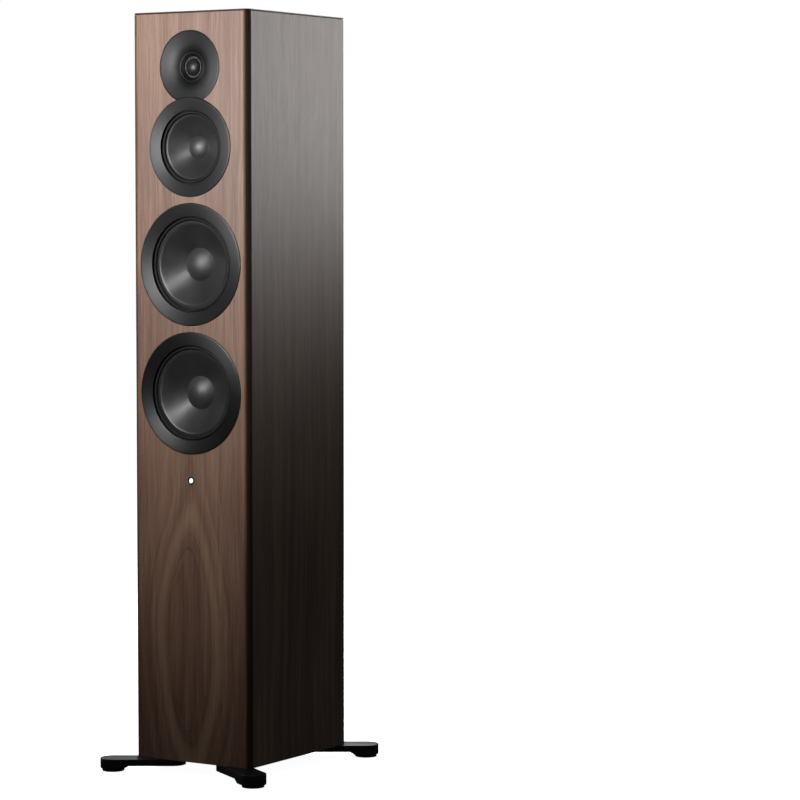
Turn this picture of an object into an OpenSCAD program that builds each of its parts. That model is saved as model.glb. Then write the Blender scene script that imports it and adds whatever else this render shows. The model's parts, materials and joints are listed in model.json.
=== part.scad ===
// Floorstanding active loudspeaker: walnut cabinet, tweeter, midrange, two woofers,
// amplifier panel at the back and four outrigger feet.
// Millimetres, +Z up, front towards -Y, origin on the floor under the cabinet's centre.

/* [Cabinet] */
// Width of the cabinet
cab_w = 214; // [206:1:300]
// Depth of the cabinet
cab_d = 260; // [240:1:400]
// Height of the cabinet without its feet
cab_h = 1140; // [1080:5:1400]
// Thickness of the side, top, bottom and rear panels
wall = 18; // [12:1:25]
// Thickness of the front baffle
baffle_t = 25; // [22:1:36]
// Radius of the two vertical front edges
edge_r = 9; // [2:0.5:15]
// Width of the rails around the windows in the braces
brace_rail = 14; // [10:1:25]

/* [Driver layout] */
// From the cabinet's top down to the tweeter plate
top_gap = 28.8; // [10:0.1:60]
// How far the midrange ring bites into the tweeter plate
plate_bite = 9.7; // [0:0.1:12]
// Gap between neighbouring trim rings
ring_gap = 9.4; // [4:0.1:30]
// From the lower woofer ring down to the status light's centre
light_gap = 40; // [20:1:80]
// Radial gap between a ring or plate and its recess
recess_gap = 0.4; // [0.2:0.1:1]

/* [Woofer] */
// Outer radius of the trim ring
woofer_ring_r = 92.7; // [86:0.1:97]
// Inner radius of the trim ring
woofer_ring_in_r = 72.3; // [68:0.1:76]
// Radius of the visible cone
woofer_cone_r = 62.4; // [58:0.1:63]
// Radius of the dust cap
woofer_cap_r = 25.5; // [20:0.1:32]
// Height of the dust cap
woofer_cap_h = 8; // [4:0.5:11]
// Inner radius of the voice coil's former
woofer_coil_r = 16; // [12:0.5:19]
// Radius of the ring magnet
woofer_magnet_r = 45; // [36:1:55]
// Thickness of the ring magnet
woofer_magnet_t = 15; // [8:1:24]
// Depth from the baffle's face to the motor
woofer_motor_depth = 56; // [52:1:70]
// Greatest travel of the cone each way
woofer_stroke = 4; // [2:0.5:4.5]

/* [Midrange] */
// Outer radius of the trim ring
mid_ring_r = 75; // [68:0.1:90]
// Inner radius of the trim ring
mid_ring_in_r = 55.4; // [52:0.1:58]
// Radius of the visible cone
mid_cone_r = 48; // [44:0.1:48.5]
// Radius of the dust cap
mid_cap_r = 17.8; // [15:0.1:24]
// Height of the dust cap
mid_cap_h = 6; // [3:0.5:8]
// Inner radius of the voice coil's former
mid_coil_r = 12.5; // [9:0.5:14]
// Radius of the ring magnet
mid_magnet_r = 36; // [28:1:44]
// Thickness of the ring magnet
mid_magnet_t = 12; // [8:1:20]
// Depth from the baffle's face to the motor
mid_motor_depth = 46; // [42:1:60]
// Greatest travel of the cone each way
mid_stroke = 2; // [1:0.5:3]

/* [Tweeter] */
// Radius of the face plate
tweeter_r = 55; // [46:0.1:66]
// Radius of the ridged throat
tweeter_throat_r = 21.5; // [19:0.1:28]
// Radius of the dome
dome_r = 12.7; // [11:0.1:14]
// Height of the dome
dome_h = 5.5; // [3:0.1:6]

/* [Status light] */
// Outer radius of the bezel
bezel_r = 6.2; // [4:0.1:10]
// Radius of the lens
lens_r = 3.6; // [2:0.1:4]

/* [Amplifier] */
// Width of the amplifier panel
amp_w = 150; // [140:1:170]
// Height of the amplifier panel
amp_h = 220; // [190:1:300]
// Thickness of the amplifier panel
amp_t = 4; // [3:0.5:6]
// From the cabinet's bottom up to the amplifier panel
amp_up = 40; // [30:1:100]
// Height of the cooling fins
fin_h = 12; // [5:1:20]
// Number of cooling fins
fin_count = 11; // [5:1:15]

/* [Feet] */
// Height of the cabinet's bottom above the floor
foot_h = 20; // [18:1:40]
// Thickness of an outrigger arm
arm_t = 10.5; // [8:0.5:14]
// Width of an outrigger arm
arm_w = 40; // [32:1:50]
// From the pad's centre to the arm's inner end
arm_len = 112; // [105:1:150]
// Angle of the arm from the cabinet's width
arm_angle = 32; // [25:1:45]
// From the cabinet's side out to the pad's centre
pad_out = 24; // [22:1:60]
// From the cabinet's front or back out to the pad's centre
pad_fore = 26; // [24:1:60]
// Radius of the levelling pad
pad_r = 17; // [12:0.5:18]
// How far a levelling foot screws out
foot_travel = 6; // [2:0.5:7]

/* [Hidden] */
$fn = 96;

// Cabinet planes and driver heights above the floor
front_y = -cab_d / 2;
rear_y = cab_d / 2;
base_z = foot_h;
top_z = foot_h + cab_h;
inner_w = cab_w - 2 * wall;
inner_front_y = front_y + baffle_t;
inner_rear_y = rear_y - wall;
tweeter_z = top_z - top_gap - tweeter_r;
mid_z = tweeter_z - tweeter_r - mid_ring_r + plate_bite;
woofer_upper_z = mid_z - mid_ring_r - ring_gap - woofer_ring_r;
woofer_lower_z = woofer_upper_z - 2 * woofer_ring_r - ring_gap;
light_z = woofer_lower_z - woofer_ring_r - light_gap;

// Common driver sizes, depths counted from the baffle's face
ring_proud = 1.2;
ring_seat = 5;
ring_dish = 3.5;
flange_t = 4;
flange_depth = ring_seat + flange_t;
surround_t = 1;
roll_r = 3.1;
roll_inset = 3.5;
cone_seat = ring_seat + surround_t;
cone_tuck = 1.6;
cone_t = 1.2;
cone_slope = 0.52;
cap_t = 0.8;
former_t = 0.5;
winding_t = 0.7;
coil_gap = 0.6;
plate_t = 6;
glue = 0.1;
spider_t = 0.6;
spider_wave = 1.6;
spider_rings = 5;
basket_wall = 2.5;
basket_clear = 1.5;

// Fields of a driver's size list
WOOFER = [woofer_ring_r, woofer_ring_in_r, woofer_cone_r, woofer_cap_r, woofer_cap_h,
    woofer_coil_r, woofer_magnet_r, woofer_magnet_t, woofer_motor_depth, woofer_stroke];
MID = [mid_ring_r, mid_ring_in_r, mid_cone_r, mid_cap_r, mid_cap_h,
    mid_coil_r, mid_magnet_r, mid_magnet_t, mid_motor_depth, mid_stroke];
function ring_r(d) = d[0];
function ring_in_r(d) = d[1];
function cone_r(d) = d[2];
function cap_r(d) = d[3];
function cap_h(d) = d[4];
function coil_r(d) = d[5];
function magnet_r(d) = d[6];
function magnet_t(d) = d[7];
function motor_depth(d) = d[8];
function stroke(d) = d[9];
function former_r(d) = coil_r(d) + former_t;
function basket_r(d) = ring_in_r(d) + 3;
function cutout_r(d) = basket_r(d) + basket_clear;
function screw_circle_r(d) = (cutout_r(d) + ring_r(d)) / 2;
function cone_depth_at(d, r) = cone_seat + (cone_r(d) - r) * cone_slope;
function spider_depth(d) = cone_depth_at(d, former_r(d)) + cone_t + stroke(d) + 5;
function spider_r(d) = magnet_r(d) - 1;
function magnet_depth(d) = motor_depth(d) + plate_t + glue;
function back_depth(d) = magnet_depth(d) + magnet_t(d) + glue;
function motor_end(d) = back_depth(d) + plate_t;

// Tweeter, depths counted from the baffle's face
tweeter_plate_t = 4;
tweeter_body_r = 34;
tweeter_body_depth = 12;
throat_depth = 6.5;
dome_depth = 9;
dome_ring_r = dome_r + 3;
tweeter_lip = 0.6;
tweeter_roll_r = 0.9;
tweeter_magnet_t = 9;
tweeter_iron_t = 3;
tweeter_motor_r = 30;
tweeter_glue = 0.1;
tweeter_back = tweeter_body_depth + tweeter_iron_t + tweeter_magnet_t + 2 * tweeter_glue;
tweeter_end = tweeter_back + tweeter_iron_t;
cup_len = 16;
cup_wall = 2;
tweeter_coil_len = 7;

// Screws, bolts and other small parts
screw_r = 2;
screw_head_r = 4;
screw_head_h = 2;
screw_len = 18;
screw_clear = 0.05;
screws_per_driver = 6;
bolt_r = 3;
bolt_head_r = 5;
bolt_head_h = 5;
bolt_len = 18;
bolt_spots = [72, 98];
stud_r = 4;
stud_clear = 0.05;
stud_grip = 6;
stud_h = foot_travel + stud_grip;
pad_t = 4;
tip_slope = 9;
light_depth = 18;
wire_r = 2.5;
wire_hole_r = 4;
wire_gap = 1.5;
wire_y = 55;
braces_z = [light_z - 56, (woofer_upper_z + woofer_lower_z) / 2];
brace_t = 18;
chamber_wall = 7;
chamber_room = 10;
chamber_depth = mid_motor_depth + 2 * plate_t + mid_magnet_t + 40;
foam_t = 20;
foam_gap = 0.5;

// Midrange chamber, inside sizes
chamber_half_w = mid_ring_in_r + 3 + chamber_room;
chamber_half_h = mid_ring_r + 2;
wire_x = -chamber_half_w - chamber_wall - wire_gap - wire_r;
mid_wire_x = -mid_magnet_r / 2;

// Amplifier panel
amp_z = base_z + amp_up + amp_h / 2;
amp_seat = 10;
amp_gap = 0.4;
amp_cut_w = amp_w - 2 * amp_seat;
amp_cut_h = amp_h - 2 * amp_seat;
fin_t = 2.5;
fin_span = 100;
fin_len = amp_h / 2 - 30;
fin_z = amp_z + amp_h / 4 - 2;
inlet_x = -34;
inlet_z = amp_z - amp_h / 2 + 40;
inlet_w = 24;
inlet_h = 16.4;
inlet_depth = 19;
inlet_pin_len = 12;
inlet_bezel_w = 31;
inlet_bezel_h = 52;
inlet_bezel_t = 2.5;
inlet_rise = 14;
inlet_wall = 2;
switch_w = 12;
switch_r = 9.3;
switch_gap = 0.3;
switch_tilt = 10;
switch_z = inlet_z + 26;
switch_y = rear_y - 1.5;
switch_back = 6;
phono_x = 14;
phono_step = 18;
phono_z = inlet_z + 18;
phono_r = 4.15;
phono_bore_r = 1.6;
phono_len = 9;
phono_flange_r = 6.5;
phono_back = 14;
link_x = 46;
link_z = inlet_z - 2;
link_w = 15.6;
link_h = 13.2;
link_open_w = 11.8;
link_open_h = 8;
link_depth = 14;
button_x = 14;
button_z = inlet_z - 4;
button_r = 3;
button_gap = 0.25;
button_proud = 1.8;
button_flange_r = 4.5;
board_t = 1.6;
board_y = inner_rear_y - 22;
supply_y = board_y - 26;
rod_r = 3;

// Places a driver's own axis (+Z forwards) at height z on the baffle
module at_front(z) {
    translate([0, front_y, z])
        rotate([90, 0, 0])
            children();
}

// A ring of circular section, turned about the driver's axis
module washer(r_out, r_in, z_low, z_high) {
    translate([0, 0, z_low])
        difference() {
            cylinder(r = r_out, h = z_high - z_low);
            translate([0, 0, -1])
                cylinder(r = r_in, h = z_high - z_low + 2);
        }
}

// Cabinet outline with the two front edges rounded
module footprint(w, d, r) {
    union() {
        translate([-w / 2, -d / 2 + r])
            square([w, d - r]);
        translate([-w / 2 + r, -d / 2])
            square([w - 2 * r, 2 * r]);
        for (side = [-1, 1])
            translate([side * (w / 2 - r), -d / 2 + r])
                circle(r = r);
    }
}

module screw_ring(d) {
    for (i = [0:screws_per_driver - 1])
        rotate([0, 0, 360 * (i + 0.5) / screws_per_driver])
            translate([screw_circle_r(d), 0, 0])
                children();
}

// Countersunk screw, head's top at z = 0, shank down -Z
module screw(grow) {
    union() {
        translate([0, 0, -screw_head_h])
            cylinder(r1 = screw_r + grow, r2 = screw_head_r + grow, h = screw_head_h);
        translate([0, 0, -screw_len - grow])
            cylinder(r = screw_r + grow, h = screw_len);
    }
}

// Everything a cone driver needs cut from the baffle
module driver_cut(d) {
    translate([0, 0, -flange_depth])
        cylinder(r = ring_r(d) + recess_gap, h = flange_depth + 1);
    translate([0, 0, -baffle_t - 1])
        cylinder(r = cutout_r(d), h = baffle_t + 2);
    screw_ring(d)
        translate([0, 0, -ring_seat])
            screw(screw_clear);
}

module front_baffle() {
    color([0.45, 0.29, 0.2])
        difference() {
            translate([0, 0, base_z + wall])
                linear_extrude(cab_h - 2 * wall)
                    intersection() {
                        footprint(cab_w, cab_d, edge_r);
                        translate([-cab_w / 2, front_y])
                            square([cab_w, baffle_t]);
                    }
            at_front(tweeter_z) {
                translate([0, 0, -tweeter_plate_t])
                    cylinder(r = tweeter_r + recess_gap, h = tweeter_plate_t + 1);
                translate([0, 0, -baffle_t - 1])
                    cylinder(r = tweeter_body_r + basket_clear, h = baffle_t + 2);
            }
            at_front(mid_z)
                driver_cut(MID);
            at_front(woofer_upper_z)
                driver_cut(WOOFER);
            at_front(woofer_lower_z)
                driver_cut(WOOFER);
            at_front(light_z)
                translate([0, 0, -baffle_t - 1])
                    cylinder(r = bezel_r - 1, h = baffle_t + 2);
        }
}

module side_panel(side) {
    color([0.4, 0.26, 0.18])
        translate([side * (cab_w - wall) / 2 - wall / 2, inner_front_y, base_z + wall])
            cube([wall, cab_d - baffle_t, cab_h - 2 * wall]);
}

module left_side_panel() {
    side_panel(-1);
}

module right_side_panel() {
    side_panel(1);
}

module top_panel() {
    color([0.38, 0.25, 0.17])
        translate([0, 0, top_z - wall])
            linear_extrude(wall)
                footprint(cab_w, cab_d, edge_r);
}

// Signs of the four corners and the arm's own frame at each
function corner_x(side) = side * (cab_w / 2 + pad_out);
function corner_y(end) = end * (cab_d / 2 + pad_fore);

// Puts +X of the arm's frame from the pad's centre inwards
module at_corner(side, end) {
    translate([corner_x(side), corner_y(end), 0])
        mirror([side > 0 ? 1 : 0, 0, 0])
            mirror([0, end > 0 ? 1 : 0, 0])
                rotate([0, 0, arm_angle])
                    children();
}

module every_corner() {
    for (side = [-1, 1])
        for (end = [-1, 1])
            at_corner(side, end)
                children();
}

module bottom_panel() {
    color([0.2, 0.15, 0.12])
        difference() {
            translate([0, 0, base_z])
                linear_extrude(wall)
                    footprint(cab_w, cab_d, edge_r);
            every_corner()
                for (spot = bolt_spots)
                    translate([spot, 0, base_z - 1])
                        cylinder(r = bolt_r + screw_clear, h = wall - 2);
        }
}

module amp_screw_spots() {
    for (side = [-1, 1])
        for (row = [-1, 0, 1])
            translate([side * (amp_w - amp_seat) / 2, rear_y, amp_z + row * (amp_h - amp_seat) / 2])
                rotate([-90, 0, 0])
                    children();
}

module rear_panel() {
    color([0.16, 0.14, 0.13])
        difference() {
            translate([-inner_w / 2, inner_rear_y, base_z + wall])
                cube([inner_w, wall, cab_h - 2 * wall]);
            translate([-amp_w / 2 - amp_gap, rear_y - amp_t, amp_z - amp_h / 2 - amp_gap])
                cube([amp_w + 2 * amp_gap, amp_t + 1, amp_h + 2 * amp_gap]);
            translate([-amp_cut_w / 2, inner_rear_y - 1, amp_z - amp_cut_h / 2])
                cube([amp_cut_w, wall + 2, amp_cut_h]);
            amp_screw_spots()
                translate([0, 0, -screw_len - 1])
                    cylinder(r = screw_r + screw_clear, h = screw_len + 1);
        }
}

module window_braces() {
    window_w = inner_w - 2 * (brace_rail + wire_hole_r);
    window_d = inner_rear_y - inner_front_y - 2 * brace_rail;
    color([0.62, 0.5, 0.36])
        for (z = braces_z)
            translate([0, 0, z - brace_t / 2])
                difference() {
                    translate([-inner_w / 2, inner_front_y, 0])
                        cube([inner_w, inner_rear_y - inner_front_y, brace_t]);
                    translate([-window_w / 2, inner_front_y + brace_rail, -1])
                        cube([window_w, window_d, brace_t + 2]);
                    translate([wire_x, wire_y, -1])
                        cylinder(r = wire_hole_r, h = brace_t + 2);
                }
}

module mid_chamber() {
    half_w = chamber_half_w + chamber_wall;
    half_h = chamber_half_h + chamber_wall;
    color([0.6, 0.48, 0.35])
        difference() {
            translate([-half_w, inner_front_y, mid_z - half_h])
                cube([2 * half_w, chamber_depth + chamber_wall, 2 * half_h]);
            translate([-chamber_half_w, inner_front_y - 1, mid_z - chamber_half_h])
                cube([2 * chamber_half_w, chamber_depth + 1, 2 * chamber_half_h]);
            translate([mid_wire_x, inner_front_y + chamber_depth - 1, mid_z])
                rotate([-90, 0, 0])
                    cylinder(r = wire_r, h = chamber_wall + 2);
        }
}

module foam_slab(z_low, z_high) {
    translate([-inner_w / 2 + brace_rail, inner_rear_y - foam_t, z_low + foam_gap])
        cube([inner_w - 2 * brace_rail, foam_t - foam_gap, z_high - z_low - 2 * foam_gap]);
}

module damping_foam() {
    color([0.3, 0.3, 0.32]) {
        foam_slab(braces_z[0] + brace_t / 2, braces_z[1] - brace_t / 2);
        foam_slab(braces_z[1] + brace_t / 2, mid_z - chamber_half_h);
    }
}

// Tweeter
module tweeter_faceplate() {
    color([0.2, 0.2, 0.21])
        difference() {
            at_front(tweeter_z)
                rotate_extrude()
                    polygon([
                        [dome_ring_r, -dome_depth],
                        [tweeter_throat_r, -throat_depth],
                        [tweeter_r - 0.8, ring_proud / 2],
                        [tweeter_r, 0],
                        [tweeter_r, -tweeter_plate_t],
                        [tweeter_body_r, -tweeter_plate_t],
                        [tweeter_body_r, -tweeter_body_depth],
                        [dome_ring_r + 1.5, -tweeter_body_depth],
                        [dome_ring_r + 1.5, -dome_depth - tweeter_lip],
                        [dome_ring_r, -dome_depth - tweeter_lip]]);
            at_front(mid_z)
                translate([0, 0, -tweeter_plate_t - 1])
                    cylinder(r = mid_ring_r + recess_gap, h = tweeter_plate_t + 3);
        }
}

// Half-round roll of wall t on a base line at height z_base
module roll_section(r_centre, r_roll, t, z_base) {
    translate([r_centre, z_base])
        intersection() {
            difference() {
                circle(r = r_roll);
                circle(r = r_roll - t);
            }
            translate([-r_roll, 0])
                square([2 * r_roll, r_roll]);
        }
}

module tweeter_surround() {
    z_base = -dome_depth - tweeter_lip - tweeter_lip;
    color([0.08, 0.08, 0.08])
        at_front(tweeter_z)
            rotate_extrude()
                union() {
                    roll_section(dome_r + 1.2, tweeter_roll_r, 0.35, z_base + 0.3);
                    translate([dome_r + 1.2 + tweeter_roll_r - 0.35, z_base])
                        square([dome_ring_r + 1.4 - dome_r - 1.2 - tweeter_roll_r + 0.35, tweeter_lip]);
                    translate([dome_r, z_base])
                        square([1.2 - tweeter_roll_r + 0.35, tweeter_lip]);
                }
}

// Shell of a spherical cap whose rim has radius r and sits at height z
module cap_section(r, h, t, z) {
    ball_r = (r * r + h * h) / (2 * h);
    translate([0, z + h - ball_r])
        intersection() {
            difference() {
                circle(r = ball_r);
                circle(r = ball_r - t);
            }
            translate([0, ball_r - h])
                square([r + 1, h + 1]);
        }
}

module tweeter_dome() {
    color([0.05, 0.05, 0.05])
        at_front(tweeter_z)
            rotate_extrude()
                cap_section(dome_r, dome_h, 0.5, -dome_depth - 2 * tweeter_lip);
}

module tweeter_voice_coil() {
    z_top = -dome_depth - 2 * tweeter_lip;
    color([0.72, 0.42, 0.2])
        at_front(tweeter_z)
            washer(dome_r, dome_r - 0.4, z_top - tweeter_coil_len, z_top);
}

module tweeter_motor() {
    plate_front = -tweeter_body_depth;
    plate_back = plate_front - tweeter_iron_t;
    magnet_back = plate_back - tweeter_glue - tweeter_magnet_t;
    color([0.3, 0.3, 0.32])
        at_front(tweeter_z) {
            washer(tweeter_motor_r, dome_r + coil_gap, plate_back, plate_front);
            washer(tweeter_motor_r, dome_r + 5, magnet_back, plate_back - tweeter_glue);
            translate([0, 0, -tweeter_end])
                cylinder(r = tweeter_motor_r, h = tweeter_iron_t);
            translate([0, 0, -tweeter_end])
                cylinder(r = dome_r - 0.4 - coil_gap, h = tweeter_end + plate_front - 0.5);
        }
}

module tweeter_rear_cup() {
    color([0.12, 0.12, 0.12])
        at_front(tweeter_z)
            translate([0, 0, -tweeter_end - cup_len])
                difference() {
                    cylinder(r = tweeter_motor_r, h = cup_len);
                    translate([0, 0, cup_wall])
                        cylinder(r = tweeter_motor_r - cup_wall, h = cup_len);
                }
}

// Cone drivers
module trim_ring(d) {
    color([0.2, 0.21, 0.21])
        rotate_extrude()
            polygon([
                [ring_in_r(d), -ring_seat],
                [ring_r(d), -ring_seat],
                [ring_r(d), ring_proud - 0.5],
                [ring_r(d) - 0.8, ring_proud],
                [ring_in_r(d) + 1, -ring_dish],
                [ring_in_r(d), -ring_dish - 0.6]]);
}

module basket(d) {
    seat_z = -spider_depth(d) - spider_t;
    end_z = -motor_depth(d);
    color([0.12, 0.12, 0.13])
        difference() {
            rotate_extrude()
                polygon([
                    [ring_r(d) - 0.3, -ring_seat],
                    [ring_r(d) - 0.3, -flange_depth],
                    [basket_r(d), -flange_depth],
                    [spider_r(d) + basket_wall, seat_z - basket_wall],
                    [spider_r(d) + basket_wall - 1, end_z],
                    [former_r(d) + 8, end_z],
                    [former_r(d) + 8, end_z + basket_wall],
                    [spider_r(d) - 4, end_z + basket_wall],
                    [spider_r(d) - 4, seat_z],
                    [spider_r(d), seat_z],
                    [basket_r(d) - basket_wall, -flange_depth],
                    [basket_r(d) - basket_wall, -cone_seat],
                    [ring_in_r(d) + 3, -cone_seat],
                    [ring_in_r(d) + 3, -ring_seat]]);
            for (i = [0:screws_per_driver - 1])
                rotate([0, 0, 360 * i / screws_per_driver])
                    translate([former_r(d) + 12, -basket_r(d) / 5, seat_z + 3])
                        cube([basket_r(d), basket_r(d) / 2.5, -seat_z - flange_depth - 6]);
            screw_ring(d)
                translate([0, 0, -ring_seat])
                    screw(screw_clear);
        }
}

module surround(d) {
    roll_c = ring_in_r(d) - roll_inset;
    lip_in = cone_r(d) - 0.6;
    color([0.07, 0.07, 0.07])
        rotate_extrude()
            union() {
                roll_section(roll_c, roll_r, surround_t, -cone_seat);
                translate([roll_c + roll_r - surround_t, -cone_seat])
                    square([roll_inset - roll_r + surround_t + 3, surround_t]);
                translate([lip_in, -cone_seat])
                    square([roll_c - roll_r + surround_t - lip_in, surround_t]);
            }
}

// Everything behind the cone's front face
module cone_front_solid(d) {
    rotate_extrude()
        polygon([
            [0, -200],
            [cone_r(d) + cone_tuck, -200],
            [cone_r(d) + cone_tuck, -cone_seat],
            [cone_r(d), -cone_seat],
            [0, -cone_depth_at(d, 0)]]);
}

module cone(d) {
    neck = former_r(d);
    color([0.1, 0.1, 0.11])
        rotate_extrude()
            polygon([
                [cone_r(d) + cone_tuck, -cone_seat],
                [cone_r(d), -cone_seat],
                [neck, -cone_depth_at(d, neck)],
                [neck, -cone_depth_at(d, neck) - 2 * cone_t],
                [neck + 1.5, -cone_depth_at(d, neck) - 2 * cone_t],
                [neck + 3, -cone_depth_at(d, neck + 3) - cone_t],
                [cone_r(d), -cone_seat - cone_t],
                [cone_r(d) + cone_tuck, -cone_seat - cone_t]]);
}

module dust_cap(d) {
    rim_z = -cone_depth_at(d, cap_r(d));
    color([0.11, 0.11, 0.12])
        difference() {
            rotate_extrude()
                union() {
                    cap_section(cap_r(d), cap_h(d), cap_t, rim_z);
                    translate([cap_r(d) - cap_t, rim_z - 1])
                        square([cap_t, 1.4]);
                }
            cone_front_solid(d);
        }
}

// Flexible corrugated disc that centres the coil
module spider(d) {
    r_in = former_r(d);
    r_out = spider_r(d);
    step = (r_out - 4 - r_in - 2) / (2 * spider_rings);
    wave = [for (i = [0:2 * spider_rings])
        [r_in + 2 + i * step, (i % 2 == 0) ? 0 : spider_wave]];
    upper = [for (p = wave) [p[0], p[1] + spider_t]];
    lower = [for (i = [len(wave) - 1:-1:0]) wave[i]];
    color([0.75, 0.62, 0.35])
        translate([0, 0, -spider_depth(d) - spider_t])
            rotate_extrude()
                polygon(concat(
                    [[r_in, 0], [r_in, spider_t]], upper,
                    [[r_out, spider_t], [r_out, 0]], lower));
}

module voice_coil(d) {
    top = -cone_depth_at(d, former_r(d)) + 2;
    winding_mid = -motor_depth(d) - plate_t / 2;
    winding_half = plate_t / 2 + stroke(d);
    color([0.72, 0.42, 0.2]) {
        union() {
            washer(former_r(d), coil_r(d), winding_mid - winding_half - 1, top);
            washer(former_r(d) + winding_t, coil_r(d), winding_mid - winding_half,
                winding_mid + winding_half);
        }
    }
}

module motor(d) {
    gap_r = former_r(d) + winding_t + coil_gap;
    color([0.3, 0.3, 0.32]) {
        washer(magnet_r(d) - 2, gap_r, -motor_depth(d) - plate_t, -motor_depth(d));
        washer(magnet_r(d), gap_r + 7, -magnet_depth(d) - magnet_t(d), -magnet_depth(d));
        difference() {
            union() {
                translate([0, 0, -motor_end(d)])
                    cylinder(r = magnet_r(d) - 2, h = plate_t);
                translate([0, 0, -motor_end(d)])
                    cylinder(r = coil_r(d) - coil_gap, h = motor_end(d) - motor_depth(d));
            }
            translate([0, 0, -motor_end(d) - 1])
                cylinder(r = coil_r(d) / 3, h = motor_end(d));
        }
    }
}

module mid_trim_ring() {
    at_front(mid_z)
        trim_ring(MID);
}

module mid_basket() {
    at_front(mid_z)
        basket(MID);
}

module mid_surround() {
    at_front(mid_z)
        surround(MID);
}

module mid_cone() {
    at_front(mid_z)
        cone(MID);
}

module mid_dust_cap() {
    at_front(mid_z)
        dust_cap(MID);
}

module mid_spider() {
    at_front(mid_z)
        spider(MID);
}

module mid_voice_coil() {
    at_front(mid_z)
        voice_coil(MID);
}

module mid_motor() {
    at_front(mid_z)
        motor(MID);
}

module woofer_upper_trim_ring() {
    at_front(woofer_upper_z)
        trim_ring(WOOFER);
}

module woofer_upper_basket() {
    at_front(woofer_upper_z)
        basket(WOOFER);
}

module woofer_upper_surround() {
    at_front(woofer_upper_z)
        surround(WOOFER);
}

module woofer_upper_cone() {
    at_front(woofer_upper_z)
        cone(WOOFER);
}

module woofer_upper_dust_cap() {
    at_front(woofer_upper_z)
        dust_cap(WOOFER);
}

module woofer_upper_spider() {
    at_front(woofer_upper_z)
        spider(WOOFER);
}

module woofer_upper_voice_coil() {
    at_front(woofer_upper_z)
        voice_coil(WOOFER);
}

module woofer_upper_motor() {
    at_front(woofer_upper_z)
        motor(WOOFER);
}

module woofer_lower_trim_ring() {
    at_front(woofer_lower_z)
        trim_ring(WOOFER);
}

module woofer_lower_basket() {
    at_front(woofer_lower_z)
        basket(WOOFER);
}

module woofer_lower_surround() {
    at_front(woofer_lower_z)
        surround(WOOFER);
}

module woofer_lower_cone() {
    at_front(woofer_lower_z)
        cone(WOOFER);
}

module woofer_lower_dust_cap() {
    at_front(woofer_lower_z)
        dust_cap(WOOFER);
}

module woofer_lower_spider() {
    at_front(woofer_lower_z)
        spider(WOOFER);
}

module woofer_lower_voice_coil() {
    at_front(woofer_lower_z)
        voice_coil(WOOFER);
}

module woofer_lower_motor() {
    at_front(woofer_lower_z)
        motor(WOOFER);
}

// Identical countersunk screws: six in each cone driver, six in the amplifier panel
module panel_screws() {
    color([0.25, 0.25, 0.26]) {
        at_front(mid_z)
            screw_ring(MID)
                translate([0, 0, -ring_seat])
                    screw(0);
        for (z = [woofer_upper_z, woofer_lower_z])
            at_front(z)
                screw_ring(WOOFER)
                    translate([0, 0, -ring_seat])
                        screw(0);
        amp_screw_spots()
            screw(0);
    }
}

// Cap bolts that hold the arms up against the bottom panel
module foot_bolts() {
    color([0.3, 0.3, 0.32])
        every_corner()
            for (spot = bolt_spots)
                translate([spot, 0, base_z - arm_t + 0.5]) {
                    cylinder(r = bolt_head_r, h = bolt_head_h);
                    cylinder(r = bolt_r, h = bolt_head_h + bolt_len);
                }
}

module status_light_bezel() {
    color([0.06, 0.06, 0.06])
        at_front(light_z)
            difference() {
                union() {
                    cylinder(r1 = bezel_r, r2 = bezel_r - 0.4, h = 0.8);
                    translate([0, 0, -light_depth])
                        cylinder(r = bezel_r - 1, h = light_depth);
                }
                translate([0, 0, -light_depth - 1])
                    cylinder(r = lens_r, h = light_depth + 3);
            }
}

module status_light_lens() {
    color([0.9, 0.93, 1])
        at_front(light_z)
            translate([0, 0, -light_depth])
                cylinder(r = lens_r, h = light_depth + 0.4);
}

module amp_panel() {
    switch_hole_h = inlet_bezel_h - 2 * inlet_wall;
    color([0.07, 0.07, 0.075])
        difference() {
            union() {
                translate([-amp_w / 2, rear_y - amp_t, amp_z - amp_h / 2])
                    cube([amp_w, amp_t, amp_h]);
                for (i = [0:fin_count - 1])
                    translate([(i / (fin_count - 1) - 0.5) * fin_span - fin_t / 2, rear_y - 0.5,
                            fin_z - fin_len / 2])
                        cube([fin_t, fin_h + 0.5, fin_len]);
            }
            amp_screw_spots()
                screw(screw_clear);
            translate([inlet_x - inlet_bezel_w / 2 + inlet_wall, rear_y - amp_t - 1,
                    inlet_z + inlet_rise - switch_hole_h / 2])
                cube([inlet_bezel_w - 2 * inlet_wall, amp_t + 2, switch_hole_h]);
            for (i = [0, 1])
                translate([phono_x + i * phono_step, rear_y - amp_t - 1, phono_z])
                    rotate([-90, 0, 0])
                        cylinder(r = phono_r, h = amp_t + 2);
            translate([link_x - link_w / 2, rear_y - amp_t - 1, link_z - link_h / 2])
                cube([link_w, amp_t + 2, link_h]);
            translate([button_x, rear_y - amp_t - 1, button_z])
                rotate([-90, 0, 0])
                    cylinder(r = button_r + button_gap, h = amp_t + 2);
        }
}

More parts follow.
